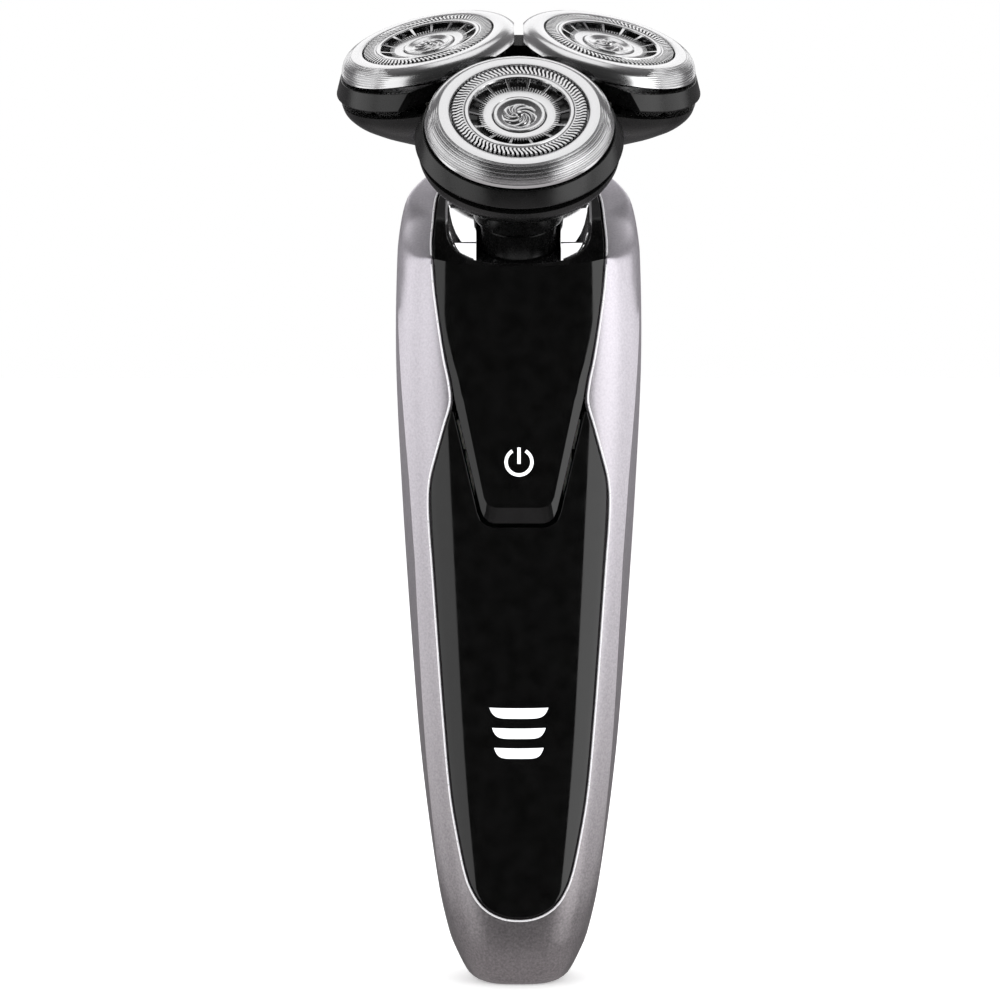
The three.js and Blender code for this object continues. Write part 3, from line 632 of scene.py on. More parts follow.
# The same edge on the slanted top, as x and y in the shaving unit's frame, from front to back.
TOP_EDGE = [
    (14.6, -19.5), (14.8, -12.4), (14.62, -5.3), (14.33, 2), (13.75, 5.7), (12.4, 9.6), (10, 12.7),
    (6.6, 14.9), (3.2, 15.9), (0, 16.2),
]
REAR_EDGE = [
    (0, 10), (3, 10.1), (6, 10.8), (8.2, 12.4), (9.4, 14.6), (10.3, 18), (11, 24), (13, 45), (15, 75),
    (15.6, 100), (15, 110), (13.6, 117), (11, 122), (7.6, 125.2), (4, 126.7), (0, 127),
]
LIP = 0.3  # rounding of the frame's edges
FINE = 0.12  # rounding of the black pieces' edges
BEAD = 0.17  # radius of the pale bead along the frame's edge: a real rounded lip whose light colour is a painted highlight
WALL = 1.3
HOLE_STEP = 1.3  # spacing of the points round the rear opening


def thinned(values, gap):
    """Sorted values with those closer than gap to the last kept one left out. The highest is kept."""
    kept = []
    for value in sorted(values):
        if not kept or value - kept[-1] > gap:
            kept.append(value)
    kept[-1] = max(values)
    return kept


def x_at(curve, height):
    return float(np.interp(height, curve[:, 1], curve[:, 0]))


def point_at(curve, marks, mark):
    """The point of a flat curve where its marks, which rise along it, reach mark."""
    return float(np.interp(mark, marks, curve[:, 0])), float(np.interp(mark, marks, curve[:, 1]))


def top_turn(x, y):
    """The direction of a point on the slanted top, by which its edge is read."""
    return np.arctan2(x, -(y + 2))


def top_edge_by_turn(spacing, distance):
    """The frame's edge on the slanted top, moved by distance, with its turns in rising order."""
    edge = offset(spline(TOP_EDGE, spacing), distance)
    turns = top_turn(edge[:, 0], edge[:, 1])
    order = np.argsort(turns)
    return edge[order], turns[order]


# ---------------------------------------------------------------- frame of the handle

ROW_GAP = 0.014  # least distance between the frame's upper rows, as a share of their climb


def frame_piece():
    front = offset(spline(FRONT_EDGE, 1.1), LIP)
    rear = offset(spline(REAR_EDGE, HOLE_STEP), LIP)
    top_edge, top_turns = top_edge_by_turn(0.4, LIP)
    hole_low, hole_top = rear[0, 1], rear[-1, 1]
    # Shares of the way from the front edge to the crease and from the crease to the rear edge.
    shares, rest = np.linspace(0, 1, 9), np.linspace(0, 1, 31)[1:] ** 1.35
    level_top = 98.0

    def row_angles(low, mid, high):
        """Angles of a row whose front end, crease and rear end lie at these heights."""
        start = 0 if low <= front[0, 1] else angle_at(x_at(front, low), low)
        end = math.pi if not hole_low < high < hole_top else angle_at(x_at(rear, high), high, back=True)
        middle = crease_angle(mid)
        return [start + (middle - start) * s for s in shares] + [middle + (end - middle) * s for s in rest]

    foot = [0, 0.12, 0.4, 0.8, 1.4, 2.1, 3, 4.1, 5.3, 6.6, 8, 9]
    edges = [z for z in front[:, 1] if z < level_top] + [z for z in rear[:, 1] if z < 16]
    heights = foot
    exact = {front[0, 1], hole_low}
    for z in sorted(edges + [level_top]):
        if z - heights[-1] < 0.11:
            if z in exact:
                heights[-1] = z
            continue
        heights.append(z)
    rows = [[surface(angle, z) for angle in row_angles(z, z, z)] for z in heights]

    # Above, each column climbs to the slanted top, rolls over its edge and runs in to the black key.
    guess = row_angles(124, 128, 143)
    for _ in range(4):
        tops = [climb(lambda z, a=angle: surface(a, z), 125) for angle in guess]
        guess = row_angles(tops[0], tops[len(shares) - 1], tops[-1])
    corners = [surface(angle, z) for angle, z in zip(guess, tops)]
    ends, lands, falls = [], [], []
    for corner in corners:
        flat = to_head(corner)
        end = from_head(*point_at(top_edge, top_turns, top_turn(flat[0], flat[1])))
        facet = 0.82 * smoothstep(corner[1], 0.5, 9)
        land = end + (corner - end) * facet
        ends.append(end)
        lands.append(land)
        falls.append(max(0.75 * np.linalg.norm(corner - land), 0.5))
    starts = [z - fall for z, fall in zip(tops, falls)]
    marks = list(np.linspace(0, 1, 22))[1:]
    marks += [(z - level_top) / (starts[-1] - level_top) for z in rear[:, 1] if z > 115]
    for mark in thinned(marks, ROW_GAP):
        heights_now = [level_top + mark * (start - level_top) for start in starts]
        if abs(heights_now[-1] - hole_top) < 1e-6:
            heights_now[-1] = hole_top
        angles = row_angles(heights_now[0], heights_now[len(shares) - 1], heights_now[-1])
        rows.append([surface(angle, z) for angle, z in zip(angles, heights_now)])
    last = rows[-1]
    for t in np.linspace(0, 1, 9)[1:]:
        rows.append([between(a, corner, b, t) for a, corner, b in zip(last, corners, lands)])
    for t in (0.25, 0.5, 0.75, 1):
        rows.append([a + (b - a) * t for a, b in zip(lands, ends)])

    right = grid(rows)
    floor = [[(x * k, y * k, 0) for x, y, z in rows[0]] for k in np.linspace(0, 1, 6)]
    sole = grid(floor)
    patch = welded(with_mirror(joined(right, sole)))
    patch = shell(patch, WALL, LIP, 4)
    piece("side_frame_shell", patch, "silver_paint", "handle", ["side_frame"], sharp=24)


def tube(path, radius, sides):
    """A closed round bead along a loop of points."""
    path = np.array(path)
    along = np.roll(path, -1, axis=0) - np.roll(path, 1, axis=0)
    rows = []
    for point, direction in zip(path, along):
        direction = unit(direction)
        side = unit(np.cross(direction, (0.0, -1.0, 0.3)))
        up = np.cross(side, direction)
        turns = np.linspace(0, 2 * math.pi, sides + 1)
        rows.append([point + radius * (math.cos(a) * side + math.sin(a) * up) for a in turns])
    rows.append(rows[0])
    return outward(welded(grid(rows), 0.001))


def frame_highlight_bead():
    """The frame's rounded edge round the black front, as a pale bead whose light colour is a painted highlight."""
    low = [on_front(x, z, 0.0) for x, z in offset(spline(FRONT_EDGE, 1.0), BEAD)]
    high = [from_head(x, y) for x, y in offset(spline(TOP_EDGE, 0.5), BEAD)]
    low = [point for point in low if point[2] < plane_height(point[1]) - 0.8]
    high = [point for point in high if point[1] > low[-1][1] + 0.8]
    half = spaced(np.array(low + high), 0.7)
    left = half[::-1] * (-1, 1, 1)
    loop = np.concatenate([half, left[1:-1]])
    piece("side_frame_edge", tube(loop, BEAD, 10), "edge_polish_and_painted_highlight", "handle")


# ---------------------------------------------------------------- black front

# Notch of the lower panel that the key sits in: half width at a height.
NOTCH = [(4.6, 79.05), (5.7, 79.45), (6.5, 80.25), (7.0, 81.5), (11.35, 99.6)]
# Outlines of the key's bevel, outside and inside, point for point.
KEY_OUTER = np.array([(4.3, 79.75), (5.2, 80.05), (5.95, 80.75), (6.45, 81.9), (10.9, 100.55)])
KEY_INNER = np.array([(3.8, 82.4), (4.85, 82.7), (5.55, 83.3), (5.95, 84.2), (9.37, 100.56)])
KEY_STEP = 0.38  # how far the key's bevel falls away to its edge
KEY_TOE = 0.72  # the same at the key's lower end


def panel_piece():
    edge = offset(spline(FRONT_EDGE, 1.1), -GAP - FINE)
    edge[0, 0] = 0
    notch = np.array(NOTCH) + (FINE + 0.05, 0)
    notch_low = NOTCH[0][1] - FINE
    tip = next(z for x, z in edge if z > 90 and x - x_at(notch, z) < 0.25)
    marks = [notch_low, *np.linspace(NOTCH[0][1], NOTCH[3][1], 9), tip]
    marks += [z for x, z in edge if z < tip and min(abs(z - mark) for mark in marks) > 0.2]
    heights = sorted(marks)
    rows = []
    across = np.linspace(0, 1, 9)
    for z in heights:
        outer = x_at(edge, z)
        inner = x_at(notch, max(z, NOTCH[0][1]))
        if z < notch_low:
            inner = min(notch[0, 0], 0.45 * outer)
            inner += (notch[0, 0] - inner) * smoothstep(z, 20, notch_low)
        xs = [inner * s for s in across] + [inner + (outer - inner) * s for s in np.linspace(0, 1, 11)[1:]]
        rows.append([on_front(x, z) for x in xs])
    middle = len(across) - 1
    patch = grid(rows, keep=lambda i, j: j >= middle or heights[i + 1] <= notch_low + 1e-9)
    patch = welded(with_mirror(patch))
    piece("lower_panel", shell(patch, WALL, FINE, 3), "gloss_black", "handle", ["front_panel"], sharp=30)


def light_bar(top, width):
    half = width / 2
    xs = np.linspace(-half, half, 41)
    tops = [top - 0.1 * (1 - (x / half) ** 2) for x in xs]
    lows = [high - 0.04 - 1.68 * (1 - (abs(x) / half) ** 7) ** 0.9 for x, high in zip(xs, tops)]
    rows = [[on_front(x, low + (high - low) * t, 0.03) for x, low, high in zip(xs, lows, tops)]
            for t in np.linspace(0, 1, 5)]
    return shell(grid(rows), 0.5, 0.03, 2)


def light_bars():
    bars = [light_bar(top, width) for top, width in [(48.45, 9.9), (45.0, 9.0), (41.6, 8.3)]]
    piece("battery_lights", joined(*bars), "white_lens", "handle", ["battery_light_guide"])


def bevel_width(height):
    return 1.48 - 1.0 * smoothstep(height, 100, 118)


def bevel_fall(z):
    """How far the outer edge of the key lies below its face: nothing at the slanted top."""
    return KEY_STEP * bevel_width(z) / bevel_width(0) * (1 - smoothstep(z, 98, 116))


# The recess round the neck, in the shaving unit's frame: half width, reach to the front and to the back.
RECESS = (12.6, 20.35, 13.9)
RECESS_POWER = 3.4
RECESS_STRAIGHT = -9  # behind this its sides are read straight across, in front of it by direction
ARM_BACK = 5.7  # where the key's arms end, in the shaving unit's frame


def recess_oval(angle, inset=0.35):
    """A point of the recess edge at an angle from the front, moved inwards by inset."""
    width, front, back = (size - inset for size in RECESS)
    return np.array(oval_point(width, front if math.cos(angle) > 0 else back, RECESS_POWER, angle))


def recess_towards(x, y, grow):
    """The recess edge seen from the neck's front towards a point on the slanted top."""
    outline = np.array([recess_oval(a, -grow) for a in np.linspace(0, math.pi, 361)])
    if y > RECESS_STRAIGHT:
        side = outline[outline[:, 0] > 0.5 * RECESS[0]]
        return float(np.interp(y, side[:, 1], side[:, 0])), y
    outline = outline[outline[:, 1] < RECESS_STRAIGHT + 0.5]
    turns = np.arctan2(outline[:, 0], RECESS_STRAIGHT - outline[:, 1])
    return point_at(outline, turns, math.atan2(x, RECESS_STRAIGHT - y))


def key_piece():
    edge = offset(spline(FRONT_EDGE, 0.8), -GAP - FINE)
    waist = KEY_OUTER[-1][1]

    def outer_x(height):
        return min(x_at(edge, height), KEY_OUTER[-1][0] - FINE + max(height - waist, 0) * 0.25)

    def inner_x(height):
        return outer_x(height) - bevel_width(height) + FINE

    shares = np.linspace(0, 1, 15)
    top_level = 116.0
    steps = [*np.linspace(0, 3, 13), *np.linspace(3, 4, 15)[1:]]
    inside, outside = [], []
    for step in steps:
        inside.append([float(np.interp(step, range(5), KEY_INNER[:, k])) for k in range(2)])
        outside.append([float(np.interp(step, range(5), KEY_OUTER[:, k])) for k in range(2)])
    for z in np.linspace(waist, top_level, 14)[1:]:
        inside.append([inner_x(z), z])
        outside.append([outer_x(z), z])
    face = [[on_front(x * s, z) for s in shares] for x, z in inside]
    bevel = []
    for (x, z), (out_x, out_z) in zip(inside, outside):
        fall = bevel_fall(z)
        fall += (KEY_TOE - KEY_STEP) * (1 - smoothstep(out_z, 80, 83.5))
        bevel.append([on_front(x, z), on_front(out_x, out_z, -fall)])
    # From here each column climbs to the slanted top.
    ends = []
    for s in [*shares, None]:
        def column(z, s=s):
            x = outer_x(z) if s is None else inner_x(z) * s
            lift = -bevel_fall(z) if s is None else 0
            return on_front(x, z, lift)
        ends.append((column, climb(column, 123)))
    for t in np.linspace(0, 1, 9)[1:]:
        row = [column(top_level + (top - top_level) * t) for column, top in ends]
        face.append(row[:-1])
        bevel.append([row[-2], row[-1]])
    sole = [[on_front(KEY_INNER[0][0] * s, KEY_INNER[0][1]) for s in shares],
            [on_front(KEY_OUTER[0][0] * s, KEY_OUTER[0][1], -KEY_TOE) for s in shares]]
    patches = [grid(face), grid(bevel), grid(sole[::-1])]

    # The band on the slanted top: the arms beside the neck and the rim in front of it.
    rim = [to_head(p)[:2] for p in face[-1]] + [to_head(bevel[-1][-1])[:2]]
    arm_edge = offset(spline(TOP_EDGE, 0.4), -GAP - FINE)
    order = np.argsort(arm_edge[:, 1])
    corner = rim[-1]
    for y in np.linspace(corner[1], ARM_BACK, 26)[1:]:
        rim.append((float(np.interp(y, arm_edge[order, 1], arm_edge[order, 0])), y))
    band = []
    for x, y in rim:
        inner = recess_towards(x, y, FINE)
        band.append([from_head(x + (inner[0] - x) * t, y + (inner[1] - y) * t)
                     for t in (0, 0.3, 0.65, 1)])
    for k, point in enumerate([*face[-1], bevel[-1][-1]]):
        band[k][0] = point
    across = [[column[t] for column in band] for t in range(4)]
    patches.append(grid(across))
    patch = welded(with_mirror(joined(*patches)))
    piece("key_plate", shell(patch, 1.1, FINE, 3), "gloss_black", "key", ["power_key"], sharp=9)


def power_symbol():
    """A generic power symbol: an open ring and a short bar."""
    centre, outer, stroke, opening = 90.14, 2.42, 0.5, 0.55
    turns = np.linspace(opening, 2 * math.pi - opening, 61)
    ring = []
    for radius in np.linspace(outer - stroke, outer, 4):
        ring.append([on_front(radius * math.sin(a), centre + radius * math.cos(a), 0.03) for a in turns])
    bar = [[on_front(x, z, 0.03) for x in (-0.25, 0, 0.25)] for z in np.linspace(89.85, 92.55, 5)]
    lens = joined(shell(flipped(grid(ring)), 0.4, 0.03, 2), shell(grid(bar), 0.4, 0.03, 2))
    piece("power_symbol", lens, "white_lens", "key", ["power_symbol_lens"])


# ---------------------------------------------------------------- recess round the neck

BOWL = [(0.996, -27.75), (0.985, -28.2), (0.965, -29.4), (0.935, -30.8), (0.885, -32.2), (0.815, -33.4),
        (0.74, -34.1), (0.66, -34.4)]
NECK_HOLE = 7.3
# The bottom and the top of each polished wall beside the neck, as y and z from the front one back.
CHEEKS = (((-7.3, -34.6), (-5.6, -31.5)), ((-2.5, -34.6), (1.3, -27.8)))
DECK_HOLE = 8.7


def cheek(bottom, top):
    """A polished wall right of the neck, which faces forward."""
    sides = [recess_oval(a) for a in np.linspace(0.5, 2.6, 200)]
    rows = []
    for t in np.linspace(0, 1, 12):
        y, z = (bottom[k] + (top[k] - bottom[k]) * t for k in range(2))
        limit = float(np.interp(y, [side[1] for side in sides], [side[0] for side in sides])) - 0.1
        rows.append([(x, y, z) for x in np.linspace(NECK_HOLE + 0.05, limit, 12)])
    return shell(grid(rows), 0.25, 0.04, 2)


def collar_piece():
    angles = np.linspace(0, 2 * math.pi, 145)
    rows = [[(*(recess_oval(a) * scale), height) for a in angles] for scale, height in BOWL]
    rows.append([(NECK_HOLE * math.sin(a), -NECK_HOLE * math.cos(a), -34.5) for a in angles])
    bowl = shell(welded(flipped(grid(rows[::-1]))), 0.7, 0.1, 2)
    rows = []
    deck_front, deck_height = CHEEKS[-1][1]
    holes = [DECK_HOLE * unit(recess_oval(a)) for a in angles]
    for t in np.linspace(0, 1, 6):
        rows.append([(*(hole + (recess_oval(a, 0.45) - hole) * t), deck_height)
                     for a, hole in zip(angles, holes)])
    deck = shell(upright(welded(grid(rows))), 0.5, 0.03, 1)
    deck = clipped(deck, [(Vector((0, deck_front, 0)), (0, -1, 0))])
    right = joined(*[cheek(bottom, top) for bottom, top in CHEEKS])
    bowl = joined(bowl, deck, with_mirror(right))
    piece("chrome_bowl", bowl, "chrome", "handle", ["chrome_collar"], HEAD)

    inner, outer = [], []
    top_edge, turns = top_edge_by_turn(0.4, -GAP - 0.1)
    for turn in np.linspace(top_turn(13.2, ARM_BACK + 0.5), math.pi, 40):
        x, y = point_at(top_edge, turns, turn)
        outer.append(from_head(x, y))
        inner.append(from_head(*recess_oval(math.atan2(x, -y), 0.3)))
    flange = welded(with_mirror(grid([outer, [(a + b) / 2 for a, b in zip(inner, outer)], inner])))
    if point_normals(*flange)[0] @ PLANE_UP < 0:
        flange = flipped(flange)
    piece("chrome_rear_rim", shell(flange, 0.8, 0.1, 2), "chrome", "handle")


def neck_pieces():
    tube = rounded([(3.6, -38), (9, -38), (9, -36.9), (6.7, -36.9), (6.7, -29.9), (4.6, -29.9), (4.6, -26),
                    (3.6, -26)], 0.35)
    piece("neck_sleeve", turned(tube, 96), "satin_black", "handle", ["neck_tube"], HEAD)


# ---------------------------------------------------------------- back of the handle

SOCKET_MOUTH = (4.0, 15.0, 20.0)  # half width, lower and upper end
GRIP_EDGE = [
    (0, 32), (3.5, 32.5), (6.4, 34.6), (8.4, 40), (10, 70), (10.4, 92), (9.4, 101), (6.5, 107.4),
    (3.2, 109.6), (0, 110),
]
RIB_HEIGHT = 0.28
RIB_PITCH = 5


def apart(values, gap):
    """Sorted values without those that lie closer than gap to the one before them."""
    values = sorted(values)
    return [z for k, z in enumerate(values) if k == 0 or z - values[k - 1] > gap]


def rear_pieces():
    edge = offset(spline(REAR_EDGE, HOLE_STEP), -GAP - FINE)
    edge_by_height = edge[edge[:, 1].argsort()]
    mouth_half, mouth_low, mouth_top = SOCKET_MOUTH
    heights = apart({*edge[:, 1], mouth_low, mouth_top}, 0.05)
    heights[-1] = edge[-1, 1]
    rows = []
    for z in heights:
        outer = x_at(edge_by_height, z)
        split = min(mouth_half, outer * 0.6)
        xs = [*np.linspace(0, split, 5), *np.linspace(split, outer, 9)[1:]]
        rows.append([surface(angle_at(x, z, back=True), z) for x in xs])

    def outside_mouth(i, j):
        return j >= 4 or not mouth_low - 0.01 <= heights[i] < mouth_top - 0.01

    patch = welded(with_mirror(flipped(grid(rows, keep=outside_mouth))))
    cover = shell(patch, WALL, FINE, 3)
    piece("rear_cover_shell", cover, "satin_black", "handle", ["rear_cover"], sharp=30)

    grip = spline(GRIP_EDGE, 0.8)
    heights = apart({*grip[:, 1], *np.arange(34, 108, 0.5)}, 0.04)
    heights[-1] = grip[-1, 1]
    rows = []
    for z in heights:
        outer = x_at(grip, z)
        row = []
        ridge = RIB_HEIGHT * max(0, math.cos(2 * math.pi * (z - 44) / RIB_PITCH)) ** 2
        ridge *= smoothstep(z, 38, 42) * (1 - smoothstep(z, 100, 104))
        for share in np.linspace(0, 1, 15):
            rib = ridge * smoothstep(1 - share, 0.04, 0.2)
            row.append(surface(angle_at(outer * share, z, back=True), z, 0.1 + rib))
        rows.append(row)
    patch = welded(with_mirror(flipped(grid(rows))))
    piece("rear_grip_pad", shell(patch, 0.8, 0.25, 3), "rubber_black", "handle", ["rear_grip"], sharp=40)


# ---------------------------------------------------------------- shaving unit base

LOBE = [(16.9, -7.7), (16.7, -9.4), (15.1, -11.5), (11.8, -14), (6, -17.6)]
LOBE_WALL = 1.2
GEAR_CENTRES = 16


def lobe(index, inset):
    """The bowl under one shaving head, in the unit's frame."""
    name = PODS[index]
    rim = LOBE[0][1] + (5 if inset else 0)
    rows = [(radius - inset, height + inset) for radius, height in LOBE]
    rows[0] = (rows[0][0], rim)
    profile = [(0, rim), *rounded(rows, 1.2, 4)[5:-5], rows[-1], (0, rows[-1][1])]
    profile.insert(1, rows[0])
    to_unit = in_mm(HEAD).inverted() @ in_mm(POD[name])
    bowl = moved(turned(profile, 120), to_unit)
    return clipped(bowl, sector_planes(index, -0.7 if inset else -0.3, HEAD))


def base_piece():
    funnel = turned(rounded([(0, -11), (13, -11), (13, -16.5), (10.2, -19.6), (8.4, -24.6), (7.8, -29.5),
                             (0, -29.5)], 0.8, 4), 120)
    room = turned([(0, 5), (13.6, 5), (13.6, -10.9), (11.6, -10.9), (11.6, -16), (0, -16)], 96)
    bores = [turned([(0, -10), (3.6, -10), (3.6, -40), (0, -40)], 64),
             turned([(0, -25.4), (5, -25.4), (5, -40), (0, -40)], 64)]
    well = turned([(0, -8), (8.5, -8), (8.5, -15.8), (0, -15.8)], 64)
    wells = []
    for index in range(3):
        turn = Matrix.Rotation(index * 2 * math.pi / 3, 4, "Z") @ Matrix.Translation((0, -GEAR_CENTRES, 0))
        wells.append(moved(well, turn))
    body = combined(funnel, [lobe(k, 0) for k in range(3)], "UNION")
    rooms = [lobe(k, LOBE_WALL) for k in range(3)]
    body = combined(body, [*rooms, *wells, room, *bores], "DIFFERENCE")
    piece("unit_base", body, "satin_black", "head_base", ["head_base_shell"], HEAD, sharp=32)


# ---------------------------------------------------------------- shaving heads

GROOVES = 10
GROOVE_DEPTH = 0.24
PROFILE_LEAD = 4  # points of the steel ring's profile before its bend


def pod_piece(kind, name, patch, look, node):
    """A piece of one shaving head that moves with it."""
    piece(f"{kind}_{name}", patch, look, f"pod_{name}", [f"{node}_{name}"], POD[name], sharp=34)


def ring_piece(name, index):
    """The steel ring of one head, with fine grooves round its outward half."""
    steps = 120
    start, pull, end = np.array([13.3, 0]), np.array([15.35, -0.45]), np.array([15.8, -3.1])
    bend = [tuple(between(start, pull, end, t)) for t in np.linspace(0, 1, steps + 1)]
    profile = [(11.5, -0.25), (11.56, -0.08), (11.75, 0.0), (12.5, 0.0), *bend, (15.7, -3.25),
               (12.7, -3.25), (11.5, -2.4)]

    def shift(k, angle):
        """Grooves fade out towards the middle of the unit."""
        place = k - PROFILE_LEAD
        t = place / steps
        if not 0.02 < t < 0.9:
            return 0, 0
        outward_share = smoothstep(-math.sin(angle), -0.15, 0.35)
        wave = 0.5 - 0.5 * math.cos(2 * math.pi * GROOVES * (t - 0.02) / 0.88)
        dip = -GROOVE_DEPTH * outward_share * wave ** 2
        along = unit(np.array(bend[min(place + 1, steps)]) - np.array(bend[max(place - 1, 0)]))
        return -along[1] * dip, along[0] * dip

    ring = turned(profile, 192, shift)
    rise = math.radians(2.2)
    planes = sector_planes(index, 0.8, POD[name])
    planes.append((Vector((0, -15.8, -3.2)), Vector((0, math.sin(rise), -math.cos(rise)))))
    pod_piece("steel_ring", name, clipped(ring, planes), "brushed_steel", "skin_ring")


def cup_piece(name, index):
    profile = rounded([(13, -4.6), (13, -3.55), (15.75, -3.55), (16.1, -3.45), (17.42, -6.1), (16.9, -6.55),
                       (12, -6.5), (4.4, -6.4), (4.4, -5.5), (12.6, -5.5)], 0.18, 4)
    cup = clipped(turned(profile, 180), sector_planes(index, 3.2, POD[name]))
    lugs = [block((-1.6, min(s * 7, s * 8.4), -9.3), (1.6, max(s * 7, s * 8.4), -6.2)) for s in (-1, 1)]
    pod_piece("head_band", name, joined(cup, *lugs), "band_black", "pod_cup")


SLOTS = 90
WINDOWS = 14
VANES = 7
SWIRL_OUTER = 2.82
SWIRL_INNER = 0.75
BLADES = 15
# Angles inside one window's share: the arm, then five teeth between six gaps.
WINDOW_EDGES = [0, 0.12, 0.20, 0.28, 0.36, 0.44, 0.52, 0.60, 0.68, 0.76, 0.84, 0.92]


FINE_REACH = 0.002  # for welding the guards, whose points lie close together


def circle(radius, height, angles):
    return [(radius * math.cos(a), radius * math.sin(a), height) for a in angles]


def polar(rows, keep):
    """A ring of quads. Each row is (radius, height, angles), and its angles close on themselves."""
    made = [circle(radius, height, [*angles, angles[0] + 2 * math.pi]) for radius, height, angles in rows]
    return welded(grid(made, keep), FINE_REACH)


def track_patch():
    """The slotted shaving track, from its inner edge out and down the guard's side."""
    pitch = 2 * math.pi / SLOTS
    rows = []
    for radius, height, bend in [
        (9.08, -0.22, 0), (9.16, -0.04, 0), (9.38, 0.02, 0), (9.75, 0.02, 0.05), (10.0, 0.02, 0.3),
        (10.25, 0.02, 0.62), (10.5, 0.02, 0.85), (10.85, 0.02, 0.95), (11.02, 0.02, 1.0),
        (11.14, -0.02, 1.0), (11.2, -0.12, 1.0), (11.2, -1.2, 1.0), (11.2, -3.4, 1.0),
    ]:
        width = 0.5 if radius < 10.2 else 0.42
        angles = []
        for k in range(SLOTS):
            start = pitch * (k + bend * 0.9)
            angles += [start, start + pitch * width]
        rows.append((radius, height, angles))
    return polar(rows, keep=lambda i, j: j % 2 == 0 or not 2 <= i < 11)


def dish_patch():
    """The windowed middle of the guard."""
    share = 2 * math.pi / WINDOWS
    angles = [share * (k + e) for k in range(WINDOWS) for e in WINDOW_EDGES]
    pointed = []
    for k in range(WINDOWS):
        for n, e in enumerate(WINDOW_EDGES):
            pull = 0.018 if n > 1 and n % 2 == 0 else -0.018 if n > 1 else 0
            pointed.append(share * (k + e + pull))
    rows = [
        (4.45, -1.1, angles), (4.6, -0.98, angles), (5.3, -1.0, angles), (5.97, -0.86, angles),
        (6.35, -0.78, pointed), (6.72, -0.68, pointed), (7.5, -0.42, angles), (8.31, -0.14, angles),
        (8.5, 0.02, angles), (8.95, 0.06, angles), (9.03, -0.06, angles), (9.05, -0.3, angles),
    ]

    def keep(i, j):
        column = j % len(WINDOW_EDGES)
        if 3 <= i < 5:
            return column % 2 == 0
        if 5 <= i < 7:
            return column == 0
        return True

    return polar(rows, keep)


def cap_patch():
    """The hub: a shallow dish with a swirl of curved ridges round a small dome."""
    rows = []
    turns = np.linspace(0, 2 * math.pi, 145)
    rim = [(4.3, -1.5), (4.3, -0.9), (4.22, -0.76), (4.0, -0.7), (3.6, -0.8), (3.2, -0.98), (2.95, -1.05)]
    for radius, height in rim:
        rows.append(circle(radius, height, turns))
    for t in np.linspace(0, 1, 22):
        radius = SWIRL_OUTER - (SWIRL_OUTER - SWIRL_INNER) * t
        rise = (0.26 - 0.1 * t) * smoothstep(t, 0, 0.3)
        row = []
        for a in turns:
            wave = abs(math.sin(VANES / 2 * (a + 0.75 * radius)))
            row.append((radius * math.cos(a), radius * math.sin(a), -1.1 + 0.33 * t + rise * wave ** 2.5))
        rows.append(row)
    for angle in np.linspace(0.15, math.pi / 2, 7):
        rows.append(circle(0.72 * math.cos(angle), -0.62 + 0.34 * math.sin(angle), turns))
    return welded(flipped(grid(rows)), FINE_REACH)


def guard_pieces(name):
    track = shell(upright(track_patch()), 0.2, 0.02, 1)
    dish = shell(upright(dish_patch()), 0.3, 0.03, 1)
    flange = turned(rounded([(10.6, -3.5), (12.2, -3.5), (12.2, -4.2), (10.6, -4.2)], 0.1, 2), 96)
    pod_piece("shaving_guard", name, joined(track, dish, flange), "brushed_steel", "guard")
    cap = shell(upright(cap_patch()), 0.25, 0.02, 1)
    pod_piece("guard_hub", name, cap, "brushed_steel", "guard_cap")


def cutter_pieces(name):
    """A black rotor carrying a ring of slanted steel blades."""
    hub = turned(rounded([(0, -1.95), (5.2, -1.85), (8.5, -1.2), (8.9, -1.5), (8.9, -3.4), (10.3, -3.4),
                          (10.3, -4.0), (3.6, -4.0), (3.6, -9.9), (2.6, -9.9), (2.6, -6.2), (0, -6.2)],
                         0.1, 2), 96)
    piece(f"cutter_hub_{name}", hub, "satin_black", f"blades_{name}", [f"cutter_{name}"], POD[name])
    blades = []
    lean = Matrix.Rotation(math.radians(24), 4, "X")
    for k in range(BLADES):
        turn = Matrix.Rotation(2 * math.pi * k / BLADES, 4, "Z")
        place = turn @ Matrix.Translation((10.1, 0, -2.2)) @ lean
        blades.append(moved(block((-0.55, -0.2, -1.2), (0.55, 0.2, 1.05), 0.06), place))
    piece(f"cutter_blades_{name}", joined(*blades), "dark_steel", f"blades_{name}", place=POD[name])


# ---------------------------------------------------------------- scene

def area_light(name, position, target, size, radiance):
    """A soft light whose face has a given brightness, whatever its size."""
    data = bpy.data.lights.new(name, "AREA")
    data.shape = "RECTANGLE"
    data.size, data.size_y = size
    data.energy = radiance * math.pi * size[0] * size[1]
    light = bpy.data.objects.new(name, data)
    light.location = position
    light.visible_camera = False
    light.rotation_euler = (Vector(target) - Vector(position)).to_track_quat("-Z", "Y").to_euler()
    bpy.context.scene.collection.objects.link(light)
    return light


def around(azimuth, distance, height):
    """A place round the object. Azimuth 0 is in front and grows to the right."""
    angle = math.radians(azimuth)
    return math.sin(angle) * distance, -math.cos(angle) * distance, height


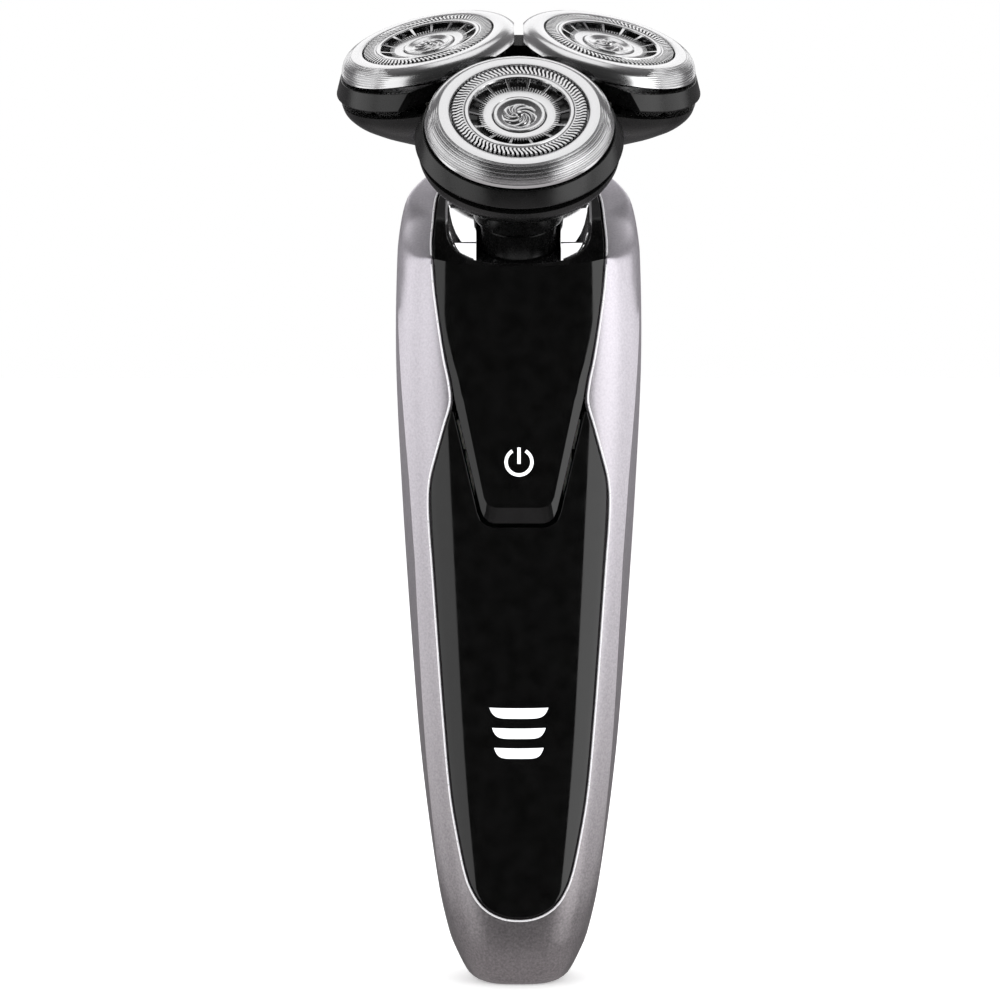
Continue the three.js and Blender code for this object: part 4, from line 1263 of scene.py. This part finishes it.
def make_lights():
    for name, azimuth, height, size, radiance in [
        ("left_strip", -57, 0.1, (0.62, 1.1), 1.25), ("right_strip", 57, 0.1, (0.62, 1.1), 1.95),
        ("left_wall", -97, 0.2, (0.56, 1.1), 1.15), ("right_wall", 97, 0.2, (0.56, 1.1), 1.1),
    ]:
        area_light(name, around(azimuth, 0.9, height), (0, 0, 0.09), size, radiance)
    area_light("top", (0, 0.05, 1.0), (0, 0.02, 0.14), (0.5, 0.6), 1.0)
    area_light("top_back", (0, 0.8, 0.75), (0, 0, 0.14), (1.1, 0.5), 1.1)
    fill = area_light("neck_fill", (0, -0.95, 0.14), (0, 0, 0.13), (1.3, 0.5), 1.25)
    lit = bpy.data.collections.new("lit_by_neck_fill")
    for name in ("chrome_bowl", "chrome_rear_rim"):
        lit.objects.link(bpy.data.objects[name])
    fill.light_linking.receiver_collection = lit


def make_world():
    """A white backdrop that lights the object only dimly, and hardly at all from the front."""
    world = bpy.data.worlds.new("studio")
    bpy.context.scene.world = world
    nodes = Nodes(world)
    direction = nodes.parts(nodes.place("Generated"))
    behind = nodes.spread(direction["Y"], 0.0, 1.0, -0.6, 0.25)
    level = nodes.mix(behind, grey(0.01), (0.16, 0.155, 0.16))
    below = nodes.spread(direction["Z"], 1.0, 0.0, -0.62, -0.46)
    dim = nodes.mix(below, level, (0.5, 0.48, 0.49))
    mirror_ray = nodes.new("ShaderNodeLightPath").outputs["Is Glossy Ray"]
    nodes.link(nodes.mix(mirror_ray, grey(1.0), dim), nodes.named["Background"].inputs["Color"])


def make_floor():
    size = 6.0
    corners = np.array([(-size, -size, 0), (size, -size, 0), (size, size, 0), (-size, size, 0)])
    floor = put_mesh("floor", (corners, [(0, 1, 2, 3)]))
    material, nodes, shader = start_look("floor_white")
    noise = nodes.noise(nodes.place(), 3)
    nodes.link(nodes.mix(noise, grey(0.90), grey(0.93)), shader["Base Color"])
    nodes.link(nodes.spread(noise, 0.45, 0.55), shader["Roughness"])
    glow(shader, grey(1.0), 0.32)
    floor.data.materials.append(material)
    floor.visible_glossy = False


CAMERA_DIP = 3  # degrees below level


def make_camera():
    data = bpy.data.cameras.new("camera")
    data.lens = 125.2
    data.sensor_width = 36
    data.clip_start = 0.05
    camera = bpy.data.objects.new("camera", data)
    camera.location = (-0.0032, -0.600, 0.1144)
    camera.rotation_euler = (math.radians(90 - CAMERA_DIP), 0, 0)
    bpy.context.scene.collection.objects.link(camera)
    bpy.context.scene.camera = camera


def finish_cad_nodes():
    """The CAD nodes that stay get the looks of their record slots."""
    for row in frame["record"]["subparts"]:
        node = frame["nodes"][row["node"]]
        if node.hide_render:
            continue
        if not node.material_slots:
            node.data.materials.append(None)
        for slot in node.material_slots:
            slot.link = "OBJECT"
            slot.material = LOOKS[row["material_slot"]]


frame_piece()
frame_highlight_bead()
panel_piece()
light_bars()
key_piece()
power_symbol()
collar_piece()
neck_pieces()
rear_pieces()
base_piece()
for pod_index, pod_name in enumerate(PODS):
    ring_piece(pod_name, pod_index)
    cup_piece(pod_name, pod_index)
    guard_pieces(pod_name)
    cutter_pieces(pod_name)
finish_cad_nodes()
make_lights()
make_world()
make_floor()
make_camera()
bpy.context.scene.view_settings.view_transform = "Standard"

bpy.context.view_layer.update()
